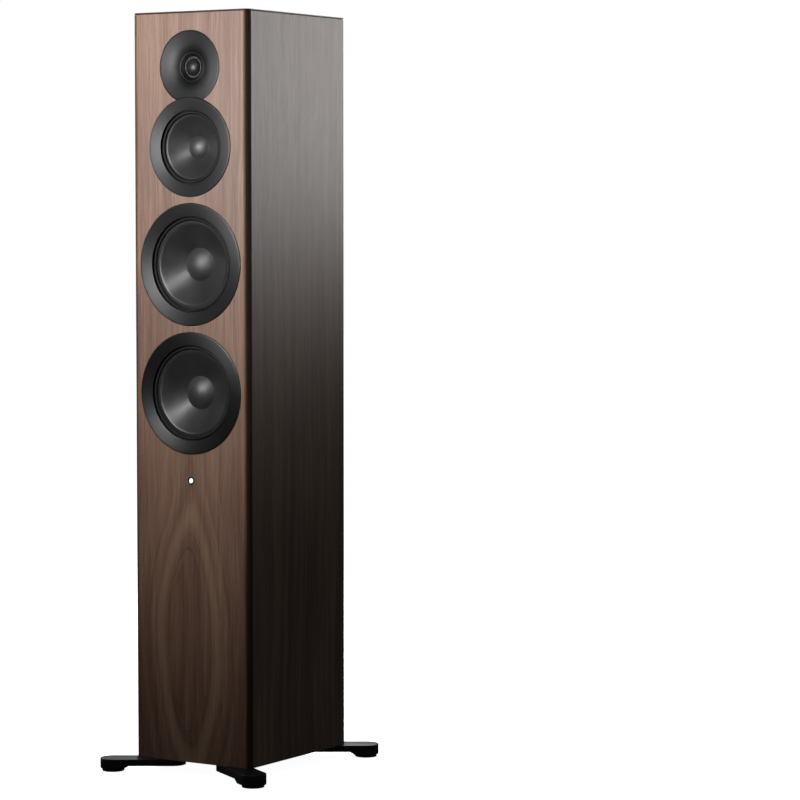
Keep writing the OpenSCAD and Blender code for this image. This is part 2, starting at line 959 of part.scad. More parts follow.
// Circuit board behind the panel, with its coils, capacitors and fixing rods
module amp_board() {
    board_w = amp_cut_w - 12;
    board_h = amp_cut_h - 20;
    color([0.1, 0.3, 0.16])
        union() {
            translate([-board_w / 2, board_y, amp_z - board_h / 2])
                cube([board_w, board_t, board_h]);
            for (side = [-1, 1])
                for (end = [-1, 1])
                    translate([side * (board_w / 2 - 5), board_y + board_t / 2,
                            amp_z + end * (board_h / 2 - 5)])
                        rotate([-90, 0, 0])
                            cylinder(r = rod_r, h = rear_y - amp_t - board_y - board_t / 2);
            for (i = [0:3])
                translate([-36 + i * 24, board_y - 14, amp_z + 30])
                    rotate([-90, 0, 0])
                        cylinder(r = 9, h = 14.5);
            for (i = [0:2])
                translate([-30 + i * 30 - 9, board_y - 10, amp_z - 8])
                    cube([18, 10.5, 18]);
        }
}

// Power supply board with its transformer, held off the circuit board by rods
module power_supply() {
    supply_w = amp_cut_w - 30;
    supply_h = amp_cut_h / 2;
    supply_z = amp_z - amp_cut_h / 5;
    color([0.16, 0.26, 0.34])
        union() {
            translate([-supply_w / 2, supply_y, supply_z - supply_h / 2])
                cube([supply_w, board_t, supply_h]);
            for (side = [-1, 1])
                for (end = [-1, 1])
                    translate([side * (supply_w / 2 - 5), supply_y + board_t / 2,
                            supply_z + end * (supply_h / 2 - 5)])
                        rotate([-90, 0, 0])
                            cylinder(r = rod_r, h = board_y - supply_y - board_t / 2);
            translate([-24, supply_y - 30, supply_z - 18])
                cube([36, 30.5, 36]);
            for (i = [0, 1])
                translate([30, supply_y - 28, supply_z - 14 + i * 26])
                    rotate([-90, 0, 0])
                        cylinder(r = 10, h = 28.5);
        }
}

// One moulding: power inlet below, frame of the rocker above
module mains_inlet() {
    body_h = inlet_bezel_h - 2 * inlet_wall;
    body_w = inlet_bezel_w - 2 * inlet_wall;
    frame_half = switch_r + switch_gap;
    body_depth = inlet_depth + 4;
    color([0.05, 0.05, 0.05]) {
        difference() {
            union() {
                translate([inlet_x - inlet_bezel_w / 2, rear_y, inlet_z + inlet_rise - inlet_bezel_h / 2])
                    cube([inlet_bezel_w, inlet_bezel_t, inlet_bezel_h]);
                translate([inlet_x - body_w / 2, rear_y - body_depth, inlet_z + inlet_rise - body_h / 2])
                    cube([body_w, body_depth + 0.5, body_h]);
            }
            translate([inlet_x - inlet_w / 2, rear_y + inlet_bezel_t - inlet_depth, inlet_z - inlet_h / 2])
                cube([inlet_w, inlet_depth + 1, inlet_h]);
            translate([inlet_x - switch_w / 2 - switch_gap, switch_y - switch_r - 1,
                    switch_z - frame_half])
                cube([switch_w + 2 * switch_gap, switch_r + 10, 2 * frame_half]);
        }
        for (pin = [[-7, 2], [0, -2], [7, 2]])
            translate([inlet_x + pin[0] - 1, rear_y + inlet_bezel_t - inlet_depth - 1, inlet_z + pin[1] - 2])
                cube([2, inlet_pin_len + 1, 4]);
    }
}

// Rocker with ends round about its own pivot, drawn pressed at its upper end
module power_switch() {
    color([0.09, 0.09, 0.09])
        translate([inlet_x, switch_y, switch_z])
            rotate([switch_tilt, 0, 0])
                rotate([0, -90, 0])
                    translate([0, 0, -switch_w / 2])
                        linear_extrude(switch_w)
                            intersection() {
                                circle(r = switch_r);
                                polygon([
                                    [-switch_r, -switch_back],
                                    [switch_r, -switch_back],
                                    [switch_r, 6],
                                    [0, 4.2],
                                    [-switch_r, 6]]);
                            }
}

module phono_sockets() {
    color([0.75, 0.6, 0.3])
        for (i = [0, 1])
            translate([phono_x + i * phono_step, rear_y, phono_z])
                rotate([-90, 0, 0])
                    difference() {
                        union() {
                            cylinder(r = phono_flange_r, h = 1.5);
                            translate([0, 0, -phono_back])
                                cylinder(r = phono_r, h = phono_back + 1.5 + phono_len);
                        }
                        translate([0, 0, 2])
                            cylinder(r = phono_bore_r, h = phono_len + 1);
                    }
}

module link_socket() {
    color([0.6, 0.6, 0.62])
        difference() {
            translate([link_x - link_w / 2, rear_y - link_depth - 4, link_z - link_h / 2])
                cube([link_w, link_depth + 5, link_h]);
            translate([link_x - link_open_w / 2, rear_y - link_depth, link_z - link_open_h / 2])
                cube([link_open_w, link_depth + 2, link_open_h]);
        }
}

module pair_button() {
    color([0.3, 0.3, 0.3])
        translate([button_x, rear_y, button_z])
            rotate([-90, 0, 0])
                union() {
                    translate([0, 0, -amp_t - 2])
                        cylinder(r = button_r, h = amp_t + 2 + button_proud);
                    translate([0, 0, -amp_t - 2])
                        cylinder(r = button_flange_r, h = 1.9);
                }
}

// A straight stretch of wire between two points on one axis, with round ends
module wire_run(a, b) {
    d = b - a;
    turn = abs(d[0]) > 0 ? [0, 90, 0] : abs(d[1]) > 0 ? [-90, 0, 0] : [0, 0, 0];
    start = [min(a[0], b[0]), min(a[1], b[1]), min(a[2], b[2])];
    translate(start)
        rotate(turn)
            cylinder(r = wire_r, h = norm(d), $fn = 32);
}

module wire_path(points) {
    for (i = [0:len(points) - 2])
        wire_run(points[i], points[i + 1]);
    for (i = [1:len(points) - 2])
        translate(points[i])
            sphere(r = wire_r, $fn = 32);
}

// One trunk up the left side, with a branch to each driver's motor and to the light
module wiring_loom() {
    woofer_y = front_y + woofer_motor_depth + plate_t + woofer_magnet_t / 2;
    tweeter_y = front_y + tweeter_end + cup_len / 2;
    mid_y = front_y + motor_end(MID);
    light_y = front_y + light_depth;
    color([0.5, 0.12, 0.1])
        union() {
            wire_path([
                [-amp_cut_w / 2 + 6, board_y, amp_z + amp_cut_h / 4],
                [-amp_cut_w / 2 + 6, wire_y, amp_z + amp_cut_h / 4],
                [wire_x, wire_y, amp_z + amp_cut_h / 4],
                [wire_x, wire_y, tweeter_z],
                [wire_x, tweeter_y, tweeter_z],
                [-tweeter_motor_r, tweeter_y, tweeter_z]]);
            for (z = [woofer_upper_z, woofer_lower_z])
                wire_path([
                    [wire_x, wire_y, z],
                    [wire_x, woofer_y, z],
                    [-woofer_magnet_r, woofer_y, z]]);
            wire_path([
                [wire_x, wire_y, mid_z],
                [mid_wire_x, wire_y, mid_z],
                [mid_wire_x, mid_y, mid_z]]);
            wire_path([
                [wire_x, wire_y, light_z],
                [0, wire_y, light_z],
                [0, light_y, light_z]]);
        }
}

// Arm whose thick tip carries the levelling foot's stud
module outrigger() {
    tip_r = arm_w / 2;
    color([0.04, 0.04, 0.045])
        difference() {
            intersection() {
                translate([0, 0, pad_t])
                    linear_extrude(base_z - pad_t)
                        union() {
                            circle(r = tip_r);
                            translate([0, -tip_r])
                                square([arm_len - tip_r, arm_w]);
                            translate([arm_len - tip_r, 0])
                                circle(r = tip_r);
                        }
                translate([0, arm_w, 0])
                    rotate([90, 0, 0])
                        linear_extrude(2 * arm_w)
                            polygon([
                                [-tip_r - 1, pad_t],
                                [tip_r - 4, pad_t],
                                [tip_r - 4 + tip_slope, base_z - arm_t],
                                [arm_len + 1, base_z - arm_t],
                                [arm_len + 1, base_z],
                                [-tip_r - 1, base_z]]);
            }
            translate([0, 0, pad_t - 1])
                cylinder(r = stud_r + stud_clear, h = stud_h + 1.5);
            for (spot = bolt_spots)
                translate([spot, 0, base_z - arm_t]) {
                    translate([0, 0, -1])
                        cylinder(r = bolt_head_r + 0.2, h = bolt_head_h + 1.5);
                    translate([0, 0, -1])
                        cylinder(r = bolt_r + 0.2, h = arm_t + 2);
                }
        }
}

module outrigger_front_left() {
    at_corner(-1, -1)
        outrigger();
}

module outrigger_front_right() {
    at_corner(1, -1)
        outrigger();
}

module outrigger_rear_left() {
    at_corner(-1, 1)
        outrigger();
}

module outrigger_rear_right() {
    at_corner(1, 1)
        outrigger();
}

module levelling_foot() {
    color([0.08, 0.08, 0.08])
        union() {
            cylinder(r = pad_r, h = pad_t);
            cylinder(r = stud_r, h = pad_t + stud_h);
        }
}

module levelling_foot_front_left() {
    at_corner(-1, -1)
        levelling_foot();
}

module levelling_foot_front_right() {
    at_corner(1, -1)
        levelling_foot();
}

module levelling_foot_rear_left() {
    at_corner(-1, 1)
        levelling_foot();
}

module levelling_foot_rear_right() {
    at_corner(1, 1)
        levelling_foot();
}

front_baffle();
left_side_panel();
right_side_panel();
top_panel();
bottom_panel();
rear_panel();
window_braces();
mid_chamber();
damping_foam();
tweeter_faceplate();
tweeter_surround();
tweeter_dome();
tweeter_voice_coil();
tweeter_motor();
tweeter_rear_cup();
mid_trim_ring();
mid_basket();
mid_surround();
mid_cone();
mid_dust_cap();
mid_spider();
mid_voice_coil();
mid_motor();
woofer_upper_trim_ring();
woofer_upper_basket();
woofer_upper_surround();
woofer_upper_cone();
woofer_upper_dust_cap();
woofer_upper_spider();
woofer_upper_voice_coil();
woofer_upper_motor();
woofer_lower_trim_ring();
woofer_lower_basket();
woofer_lower_surround();
woofer_lower_cone();
woofer_lower_dust_cap();
woofer_lower_spider();
woofer_lower_voice_coil();
woofer_lower_motor();
panel_screws();
foot_bolts();
status_light_bezel();
status_light_lens();
amp_panel();
amp_board();
power_supply();
mains_inlet();
power_switch();
phono_sockets();
link_socket();
pair_button();
wiring_loom();
outrigger_front_left();
outrigger_front_right();
outrigger_rear_left();
outrigger_rear_right();
levelling_foot_front_left();
levelling_foot_front_right();
levelling_foot_rear_left();
levelling_foot_rear_right();
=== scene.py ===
import json
import math

import bmesh
import bpy
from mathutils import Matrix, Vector

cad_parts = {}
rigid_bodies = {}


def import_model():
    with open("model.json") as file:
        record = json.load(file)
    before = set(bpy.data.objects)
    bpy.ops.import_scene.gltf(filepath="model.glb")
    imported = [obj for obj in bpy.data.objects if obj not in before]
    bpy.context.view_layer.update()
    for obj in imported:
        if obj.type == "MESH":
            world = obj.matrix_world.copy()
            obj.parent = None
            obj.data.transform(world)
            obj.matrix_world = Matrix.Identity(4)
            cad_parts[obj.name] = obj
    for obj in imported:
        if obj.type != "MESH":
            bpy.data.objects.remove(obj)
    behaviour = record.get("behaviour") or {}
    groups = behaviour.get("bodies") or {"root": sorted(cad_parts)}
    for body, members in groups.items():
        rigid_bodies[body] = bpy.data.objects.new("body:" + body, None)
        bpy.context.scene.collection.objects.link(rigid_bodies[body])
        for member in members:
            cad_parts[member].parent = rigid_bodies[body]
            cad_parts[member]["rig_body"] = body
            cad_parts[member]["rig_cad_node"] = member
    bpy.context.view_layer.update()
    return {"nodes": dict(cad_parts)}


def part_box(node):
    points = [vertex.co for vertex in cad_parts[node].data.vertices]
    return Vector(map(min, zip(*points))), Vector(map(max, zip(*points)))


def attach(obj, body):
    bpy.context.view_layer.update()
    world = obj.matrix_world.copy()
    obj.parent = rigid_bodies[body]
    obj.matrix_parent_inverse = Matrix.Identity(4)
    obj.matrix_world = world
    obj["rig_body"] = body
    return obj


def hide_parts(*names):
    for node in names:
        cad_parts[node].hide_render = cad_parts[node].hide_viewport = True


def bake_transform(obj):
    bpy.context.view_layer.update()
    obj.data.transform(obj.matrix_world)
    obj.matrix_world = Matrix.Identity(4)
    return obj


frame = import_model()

scene = bpy.context.scene
mm = 0.001
nodes = frame["nodes"]
print("frame loaded:", len(nodes), "CAD nodes")


view = {
    "cameraPlace": (2.7351, -3.894, 0.8489),
    "pitch": -3.389,  # degrees below the horizon
    "turn": 32.0996,
    "lens": 138.199,
    "sensor": 36.0,
}


def clearSelection():
    if bpy.context.mode != "OBJECT":
        bpy.ops.object.mode_set(mode="OBJECT")
    bpy.ops.object.select_all(action="DESELECT")


def activate(piece):
    clearSelection()
    piece.select_set(True)
    bpy.context.view_layer.objects.active = piece


clearSelection()
bpy.ops.object.camera_add(
    location=view["cameraPlace"],
    rotation=(math.radians(90 + view["pitch"]), 0, math.radians(view["turn"])),
)
camera = bpy.context.active_object
camera.name = "camera"
camera.data.lens = view["lens"]
camera.data.sensor_width = view["sensor"]
scene.camera = camera
scene.view_settings.view_transform = "Standard"

lights = {
    # name: place, aim, width, height, watts, spread in degrees
    "frontKey": ((-0.40, -1.57, 1.05), (0.0, -0.13, 1.40), 0.7, 0.5, 6.7, 90),
    "coneSheen": ((0.12, -1.55, 1.45), (0.0, -0.13, 0.73), 0.35, 0.35, 0.24, 38),
    "sideSheen": ((0.85, 1.07, 1.20), (0.107, 0.0, 1.54), 1.2, 0.8, 4.5, 87),
    "backFill": ((-0.9, 1.9, 2.1), (0.0, 0.13, 0.3), 1.2, 1.0, 42.0, 140),
    "leftFill": ((-2.1, 0.3, 1.9), (-0.107, 0.05, 0.6), 1.2, 1.0, 18.0, 140),
    "topFill": ((0.0, 0.3, 2.6), (0.0, 0.25, 1.16), 0.18, 0.5, 2.5, 180),
}


def addSoftbox(name, place, aim, width, height, watts, spread):
    clearSelection()
    bpy.ops.object.light_add(type="AREA", location=place)
    lamp = bpy.context.active_object
    lamp.name = name
    lamp.data.shape = "RECTANGLE"
    lamp.data.size = width
    lamp.data.size_y = height
    lamp.data.energy = watts
    lamp.data.spread = math.radians(spread)
    direction = Vector(aim) - Vector(place)
    lamp.rotation_euler = direction.to_track_quat("-Z", "Y").to_euler()
    lamp.visible_camera = False


for lampName, lampSettings in lights.items():
    addSoftbox(lampName, *lampSettings)
print("camera and lights placed")


def addNode(tree, kind, **settings):
    made = tree.nodes.new(kind)
    for key, value in settings.items():
        setattr(made, key, value)
    return made


def plug(tree, socket, value):
    if isinstance(value, bpy.types.NodeSocket):
        tree.links.new(value, socket)
    else:
        socket.default_value = value


def sums(tree, operation, a, b=0.0, c=0.0):
    made = addNode(tree, "ShaderNodeMath", operation=operation)
    for socket, value in zip(made.inputs, (a, b, c)):
        plug(tree, socket, value)
    return made.outputs[0]


def ramp(tree, value, low, high, toLow=0.0, toHigh=1.0, smooth=True):
    kind = "SMOOTHSTEP" if smooth else "LINEAR"
    made = addNode(tree, "ShaderNodeMapRange", interpolation_type=kind)
    for socket, number in zip(made.inputs, (value, low, high, toLow, toHigh)):
        plug(tree, socket, number)
    return made.outputs[0]


def blendColours(tree, factor, a, b, how="MIX"):
    made = addNode(tree, "ShaderNodeMix", data_type="RGBA", blend_type=how, clamp_factor=True)
    plug(tree, made.inputs[0], factor)
    plug(tree, made.inputs[6], a)
    plug(tree, made.inputs[7], b)
    return made.outputs[2]


def noise(tree, vector, scale=1.0, detail=3.0, rough=0.5):
    made = addNode(tree, "ShaderNodeTexNoise")
    plug(tree, made.inputs["Vector"], vector)
    made.inputs["Scale"].default_value = scale
    made.inputs["Detail"].default_value = detail
    made.inputs["Roughness"].default_value = rough
    return made.outputs[0]


def combine(tree, x, y, z):
    made = addNode(tree, "ShaderNodeCombineXYZ")
    for socket, value in zip(made.inputs, (x, y, z)):
        plug(tree, socket, value)
    return made.outputs[0]


def separate(tree, vector):
    split = addNode(tree, "ShaderNodeSeparateXYZ")
    plug(tree, split.inputs[0], vector)
    return split.outputs


def objectCoords(tree):
    return addNode(tree, "ShaderNodeTexCoord").outputs["Object"]


def radiusAbout(tree, coords, centreZ):
    # distance from the turning axis, with the two coordinates it comes from
    centred = addNode(tree, "ShaderNodeMapping", vector_type="POINT")
    centred.inputs["Location"].default_value = (0, 0, -centreZ)
    plug(tree, centred.inputs["Vector"], coords)
    x, y, z = separate(tree, centred.outputs[0])
    squares = sums(tree, "ADD", sums(tree, "POWER", x, 2.0), sums(tree, "POWER", z, 2.0))
    return sums(tree, "SQRT", squares), x, z


def bump(tree, height, strength, distance, shader):
    made = addNode(tree, "ShaderNodeBump")
    made.inputs["Strength"].default_value = strength
    made.inputs["Distance"].default_value = distance
    plug(tree, made.inputs["Height"], height)
    plug(tree, shader.inputs["Normal"], made.outputs[0])


def startMaterial(name, metallic=0.0, specular=0.5):
    material = bpy.data.materials.new(name)
    material.use_nodes = True
    tree = material.node_tree
    shader = tree.nodes["Principled BSDF"]
    shader.inputs["Metallic"].default_value = metallic
    shader.inputs["Specular IOR Level"].default_value = specular
    return material, tree, shader


def varyRoughness(tree, shader, pattern, roughness, swing):
    varied = ramp(tree, pattern, 0.3, 0.7, roughness - swing, roughness + swing, smooth=False)
    plug(tree, shader.inputs["Roughness"], varied)


def dress(piece, material):
    piece.data.materials.clear()
    piece.data.materials.append(material)


def finishPiece(piece, material, node, body=None):
    dress(piece, material)
    if body:
        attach(piece, body)
    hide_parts(node)


floorLook = {
    "size": 30.0,
    "cells": 8,
    "grey": 0.8,
    "glow": 0.97,
    "air": 0.05,  # light from the horizon
    "sky": 0.16,  # light from overhead
    "skyFrom": (0.1, 1.0),
    "groundFrom": (-0.3, 0.05),
    "ground": 0.3,
}

clearSelection()
bpy.ops.mesh.primitive_grid_add(
    x_subdivisions=floorLook["cells"], y_subdivisions=floorLook["cells"], size=floorLook["size"]
)
floor = bpy.context.active_object
floor.name = "floor"
floor.visible_diffuse = False
floor.visible_glossy = False
floorMaterial, _, floorShader = startMaterial("paleFloor", specular=0.0)
floorShader.inputs["Base Color"].default_value = (floorLook["grey"],) * 3 + (1,)
floorShader.inputs["Roughness"].default_value = 1.0
floorShader.inputs["Emission Color"].default_value = (1, 1, 1, 1)
floorShader.inputs["Emission Strength"].default_value = floorLook["glow"]
dress(floor, floorMaterial)

world = bpy.data.worlds.new("studioAir")
scene.world = world
world.use_nodes = True
airTree = world.node_tree
background = airTree.nodes["Background"]
upward = separate(airTree, addNode(airTree, "ShaderNodeTexCoord").outputs["Generated"])[2]
sky = ramp(airTree, upward, *floorLook["skyFrom"], floorLook["air"], floorLook["sky"])
ground = ramp(airTree, upward, *floorLook["groundFrom"], floorLook["ground"], 1.0)
ambient = sums(airTree, "MULTIPLY", sky, ground)
ambientColour = combine(airTree, ambient, ambient, ambient)
seen = addNode(airTree, "ShaderNodeLightPath").outputs["Is Camera Ray"]
plug(airTree, background.inputs[0], blendColours(airTree, seen, ambientColour, (1, 1, 1, 1)))
print("floor and air made")


cabinetLow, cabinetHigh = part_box("front_baffle")
topLow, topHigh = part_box("top_panel")
bottomLow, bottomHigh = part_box("bottom_panel")
halfWidth = cabinetHigh.x
frontY = cabinetLow.y
rearY = topHigh.y

walnut = {
    "dark": (0.125, 0.052, 0.032, 1),
    "middle": (0.228, 0.112, 0.069, 1),
    "light": (0.335, 0.184, 0.113, 1),
    "pale": (0.43, 0.26, 0.16, 1),
    # dark brown painted on the rounded front edges as shade, also laid on the top sheet's sides
    "edge": (0.028, 0.019, 0.013, 1),
    "edgeGrain": (0.052, 0.031, 0.020, 1),
    "edgeRoughness": 0.6,
    # painted shade: the side faces' veneer is multiplied darker and greyer than the front
    "sideShadeTone": (0.52, 0.6, 0.66, 1),
    "roughness": 0.46,
    "specular": {"corner": 0.1, "figured": 0.75, "plain": 0.3},
    "figureX": -0.004,  # centre of the cathedral figure
    "figureZ": 0.205,
    "figureDepth": 0.017,
    "figureRise": 0.05,
    "figureLength": 0.2,
    "figureWidth": 0.085,
    "figureFade": (0.52, 0.40),  # heights where the pale band fades in
    "bandAt": 0.0525,
    "straightInside": (0.004, 0.016),  # how far inside the band the grain turns straight
    "paleBand": (-0.002, 0.0055, 0.4),  # shift inwards, width, strength
    "darkBand": (0.0085, 0.0022, 0.08),
    "sideShadeFrom": (0.0075, 0.0105),  # behind the front face
    "cornerFrom": (-0.0004, 0.0013),
    "rimFrom": (0.0002, 0.0006),  # below the top face
    "drift": 0.022,
    "wobble": 0.014,
    "poreFrom": (0.63, 0.72),
    "poreStrength": 0.45,
    "brightness": 0.52,
    "relief": (0.25, 0.00012),
}
grain = {
    # name: scale across, scale along, seed, detail, roughness
    "slow": (7.0, 3.2, 0.0, 2.0, 0.5),
    "wobble": (24.0, 9.0, 2.0, 2.0, 0.5),
    "years": (95.0, 1.6, 3.7, 3.0, 0.55),
    "streaks": (240.0, 5.0, 9.1, 3.0, 0.6),
    "fibres": (900.0, 22.0, 1.3, 4.0, 0.65),
    "pores": (1900.0, 70.0, 5.5, 1.0, 0.5),
    "clouds": (11.0, 4.0, 0.0, 2.0, 0.5),
}
grainTones = {
    # name: low and high end of the noise, strength
    "years": (0.28, 0.72, 0.24),
    "streaks": (0.28, 0.72, 0.15),
    "fibres": (0.28, 0.72, 0.13),
    "clouds": (0.3, 0.7, 0.09),
}


def grainNoise(tree, name, across, along, seedLast=True):
    acrossScale, alongScale, seed, detail, rough = grain[name]
    wide = sums(tree, "MULTIPLY", across, acrossScale)
    tall = sums(tree, "MULTIPLY", along, alongScale)
    corner = (wide, tall, seed) if seedLast else (wide, seed, tall)
    return noise(tree, combine(tree, *corner), detail=detail, rough=rough)


def grainTone(tree, name, value):
    low, high, strength = grainTones[name]
    return ramp(tree, value, low, high, -strength, strength, smooth=False)


def addShifted(tree, value, strength, base):
    # base, pushed both ways by a noise that lies about one half
    return sums(tree, "MULTIPLY_ADD", sums(tree, "SUBTRACT", value, 0.5), strength, base)


def bell(tree, value, centre, width, strength):
    reach = sums(tree, "DIVIDE", sums(tree, "SUBTRACT", value, centre), width)
    fall = sums(tree, "MULTIPLY", sums(tree, "MULTIPLY", reach, reach), -1.0)
    return sums(tree, "MULTIPLY", sums(tree, "EXPONENT", fall), strength)


def cathedral(tree, wavy, along, rise):
    # contour lines of the figure: arches over its centre, straight lines far from it
    off = sums(tree, "SUBTRACT", wavy, walnut["figureX"])
    spread = sums(tree, "SQRT", sums(tree, "MULTIPLY_ADD", off, off, walnut["figureDepth"] ** 2))
    height = sums(tree, "SUBTRACT", along, walnut["figureZ"])
    reach = sums(tree, "DIVIDE", height, walnut["figureLength"])
    lift = sums(tree, "TANH", sums(tree, "MULTIPLY", reach, reach))
    squared = sums(tree, "MULTIPLY", off, off)
    near = sums(tree, "EXPONENT", sums(tree, "MULTIPLY", squared, -1 / walnut["figureWidth"] ** 2))
    return sums(tree, "MULTIPLY_ADD", sums(tree, "MULTIPLY", lift, near), rise, spread)


def walnutMaterial(name, figured, cornerShade=False):
    look = "corner" if cornerShade else "figured" if figured else "plain"
    material, tree, shader = startMaterial(name, specular=walnut["specular"][look])
    x, y, z = separate(tree, objectCoords(tree))
    if figured:
        # the sheet of veneer runs round the front edges, so its width coordinate follows them
        side = sums(tree, "SIGN", x)
        across = sums(tree, "MULTIPLY_ADD", side, sums(tree, "SUBTRACT", y, frontY), x)
        along = z
    else:
        across, along = y, x
    slow = grainNoise(tree, "slow", across, along, seedLast=False)
    drift = addShifted(tree, slow, walnut["drift"], across)
    wobble = grainNoise(tree, "wobble", across, along, seedLast=False)
    wavy = addShifted(tree, wobble, walnut["wobble"], drift)
    rings = cathedral(tree, wavy, along, walnut["figureRise"] if figured else 0.0)
    contour = rings
    if figured:
        # inside the figure the grain runs straight again
        start, end = (walnut["bandAt"] - inside for inside in walnut["straightInside"])
        straight = sums(tree, "MULTIPLY", ramp(tree, rings, start, end), 0.8)
        turned = sums(tree, "SUBTRACT", drift, rings)
        contour = sums(tree, "MULTIPLY_ADD", straight, turned, rings)
    years = grainNoise(tree, "years", contour, along)
    streaks = grainNoise(tree, "streaks", drift, along)
    fibres = grainNoise(tree, "fibres", drift, along)
    pores = grainNoise(tree, "pores", drift, along)
    clouds = grainNoise(tree, "clouds", across, along, seedLast=False)
    broad = sums(tree, "ADD", grainTone(tree, "years", years), grainTone(tree, "streaks", streaks))
    fine = sums(tree, "ADD", grainTone(tree, "fibres", fibres), grainTone(tree, "clouds", clouds))
    total = sums(tree, "ADD", broad, fine)
    if figured:
        shift, width, strength = walnut["paleBand"]
        paleBand = bell(tree, rings, walnut["bandAt"] - shift, width, strength)
        shift, width, strength = walnut["darkBand"]
        darkBand = bell(tree, rings, walnut["bandAt"] - shift, width, strength)
        figure = sums(tree, "SUBTRACT", paleBand, darkBand)
        total = sums(tree, "MULTIPLY_ADD", figure, ramp(tree, along, *walnut["figureFade"]), total)
    colours = addNode(tree, "ShaderNodeValToRGB")
    colours.color_ramp.interpolation = "B_SPLINE"
    stops = colours.color_ramp.elements
    stops[0].position, stops[0].color = 0.1, walnut["dark"]
    stops[1].position, stops[1].color = 0.95, walnut["pale"]
    for position, key in ((0.42, "middle"), (0.68, "light")):
        stops.new(position).color = walnut[key]
    plug(tree, colours.inputs[0], sums(tree, "ADD", total, walnut["brightness"]))
    poreMask = ramp(tree, pores, *walnut["poreFrom"])
    poreShare = sums(tree, "MULTIPLY", poreMask, walnut["poreStrength"])
    wood = blendColours(tree, poreShare, colours.outputs[0], walnut["dark"])
    if figured:
        # painted shade: behind the front face the veneer is darkened and greyed
        sideShadeMask = ramp(tree, y, *(frontY + behind for behind in walnut["sideShadeFrom"]))
        wood = blendColours(tree, sideShadeMask, wood, walnut["sideShadeTone"], how="MULTIPLY")
    else:
        rim = ramp(tree, z, *(topHigh.z - below for below in walnut["rimFrom"]))
        wood = blendColours(tree, rim, wood, walnut["edge"])
    # painted shade: the rounded front edges take a dark brown with faint grain
    if cornerShade:
        weave = ramp(tree, fibres, 0.3, 0.7)
        band = blendColours(tree, weave, walnut["edge"], walnut["edgeGrain"])
        cornerShadeMask = ramp(tree, y, *(frontY + behind for behind in walnut["cornerFrom"]))
        wood = blendColours(tree, cornerShadeMask, wood, band)
    rough = walnut["edgeRoughness"] if cornerShade else walnut["roughness"]
    sheen = ramp(tree, fibres, 0.25, 0.75, rough + 0.05, rough - 0.04, smooth=False)
    plug(tree, shader.inputs["Roughness"], sheen)
    plug(tree, shader.inputs["Base Color"], wood)
    relief = sums(tree, "SUBTRACT", sums(tree, "MULTIPLY", fibres, 0.4), poreMask)
    bump(tree, relief, *walnut["relief"], shader)
    return material


walnutFront = walnutMaterial("walnutVeneer", True)
walnutTop = walnutMaterial("walnutTop", False)
walnutCorner = walnutMaterial("walnutCorner", True, cornerShade=True)


def boardMaterial(name, colour, second, roughness, grit, specular=0.4):
    material, tree, shader = startMaterial(name, specular=specular)
    coords = objectCoords(tree)
    fine = noise(tree, coords, scale=grit, detail=4.0, rough=0.6)
    broad = noise(tree, coords, scale=12.0, detail=2.0)
    mixed = blendColours(tree, ramp(tree, fine, 0.35, 0.65), colour, second)
    worn = blendColours(tree, ramp(tree, broad, 0.4, 0.75, 0.0, 0.35), mixed, second)
    plug(tree, shader.inputs["Base Color"], worn)
    varyRoughness(tree, shader, fine, roughness, 0.06)
    bump(tree, fine, 0.3, 0.00025, shader)
    return material


rawBoard = boardMaterial("rawBoard", (0.44, 0.32, 0.21, 1), (0.33, 0.23, 0.15, 1), 0.75, 900.0)
blackBoard = boardMaterial("blackBoard", (0.018, 0.018, 0.019, 1), (0.032, 0.031, 0.03, 1), 0.5, 700.0)
amberCloth = boardMaterial("spiderCloth", (0.5, 0.36, 0.14, 1), (0.36, 0.24, 0.09, 1), 0.8, 1500.0)
castBasket = boardMaterial("castBasket", (0.022, 0.022, 0.024, 1), (0.04, 0.04, 0.042, 1), 0.55, 1200.0)
magnetIron = boardMaterial("motorIron", (0.1, 0.1, 0.105, 1), (0.05, 0.05, 0.055, 1), 0.5, 600.0)
redWire = boardMaterial("wireRed", (0.36, 0.03, 0.022, 1), (0.25, 0.02, 0.015, 1), 0.4, 300.0)


def turnPiece(name, profile, centreZ, steps=128, faceY=frontY):
    # profile: (radius, forward) pairs in mm, forward counted out of the face it sits on
    clearSelection()
    radius, forward = profile[0]
    bpy.ops.mesh.primitive_circle_add(
        vertices=steps, radius=radius * mm, fill_type="NOTHING",
        rotation=(math.pi / 2, 0, 0), location=(0, faceY - forward * mm, centreZ),
    )
    bpy.ops.object.transform_apply(location=True, rotation=True, scale=True)
    piece = bpy.context.active_object
    piece.name = name
    piece.data.name = name
    bpy.ops.object.mode_set(mode="EDIT")
    bpy.ops.mesh.select_all(action="SELECT")
    for (radiusA, forwardA), (radiusB, forwardB) in zip(profile, profile[1:]):
        bpy.ops.mesh.extrude_edges_indiv()
        centre = (0, faceY - forwardA * mm, centreZ)
        ratio = max(radiusB, 0.001) / radiusA
        if abs(ratio - 1) > 1e-9:
            bpy.ops.transform.resize(value=(ratio, 1, ratio), center_override=centre)
        if abs(forwardB - forwardA) > 1e-9:
            bpy.ops.transform.translate(value=(0, (forwardA - forwardB) * mm, 0))
        if radiusB == 0:
            bpy.ops.mesh.merge(type="CENTER")
    bpy.ops.mesh.select_all(action="SELECT")
    bpy.ops.mesh.remove_doubles(threshold=1e-6)
    bpy.ops.mesh.normals_make_consistent(inside=False)
    bpy.ops.object.mode_set(mode="OBJECT")
    return piece


def applyModifier(piece, kind, **settings):
    activate(piece)
    modifier = piece.modifiers.new("finish", kind)
    for key, value in settings.items():
        setattr(modifier, key, value)
    bpy.ops.object.modifier_apply(modifier=modifier.name)


def softenEdges(piece, width, segments, angle):
    applyModifier(
        piece, "BEVEL", width=width * mm, segments=segments, limit_method="ANGLE",
        angle_limit=math.radians(angle), use_clamp_overlap=True,
    )


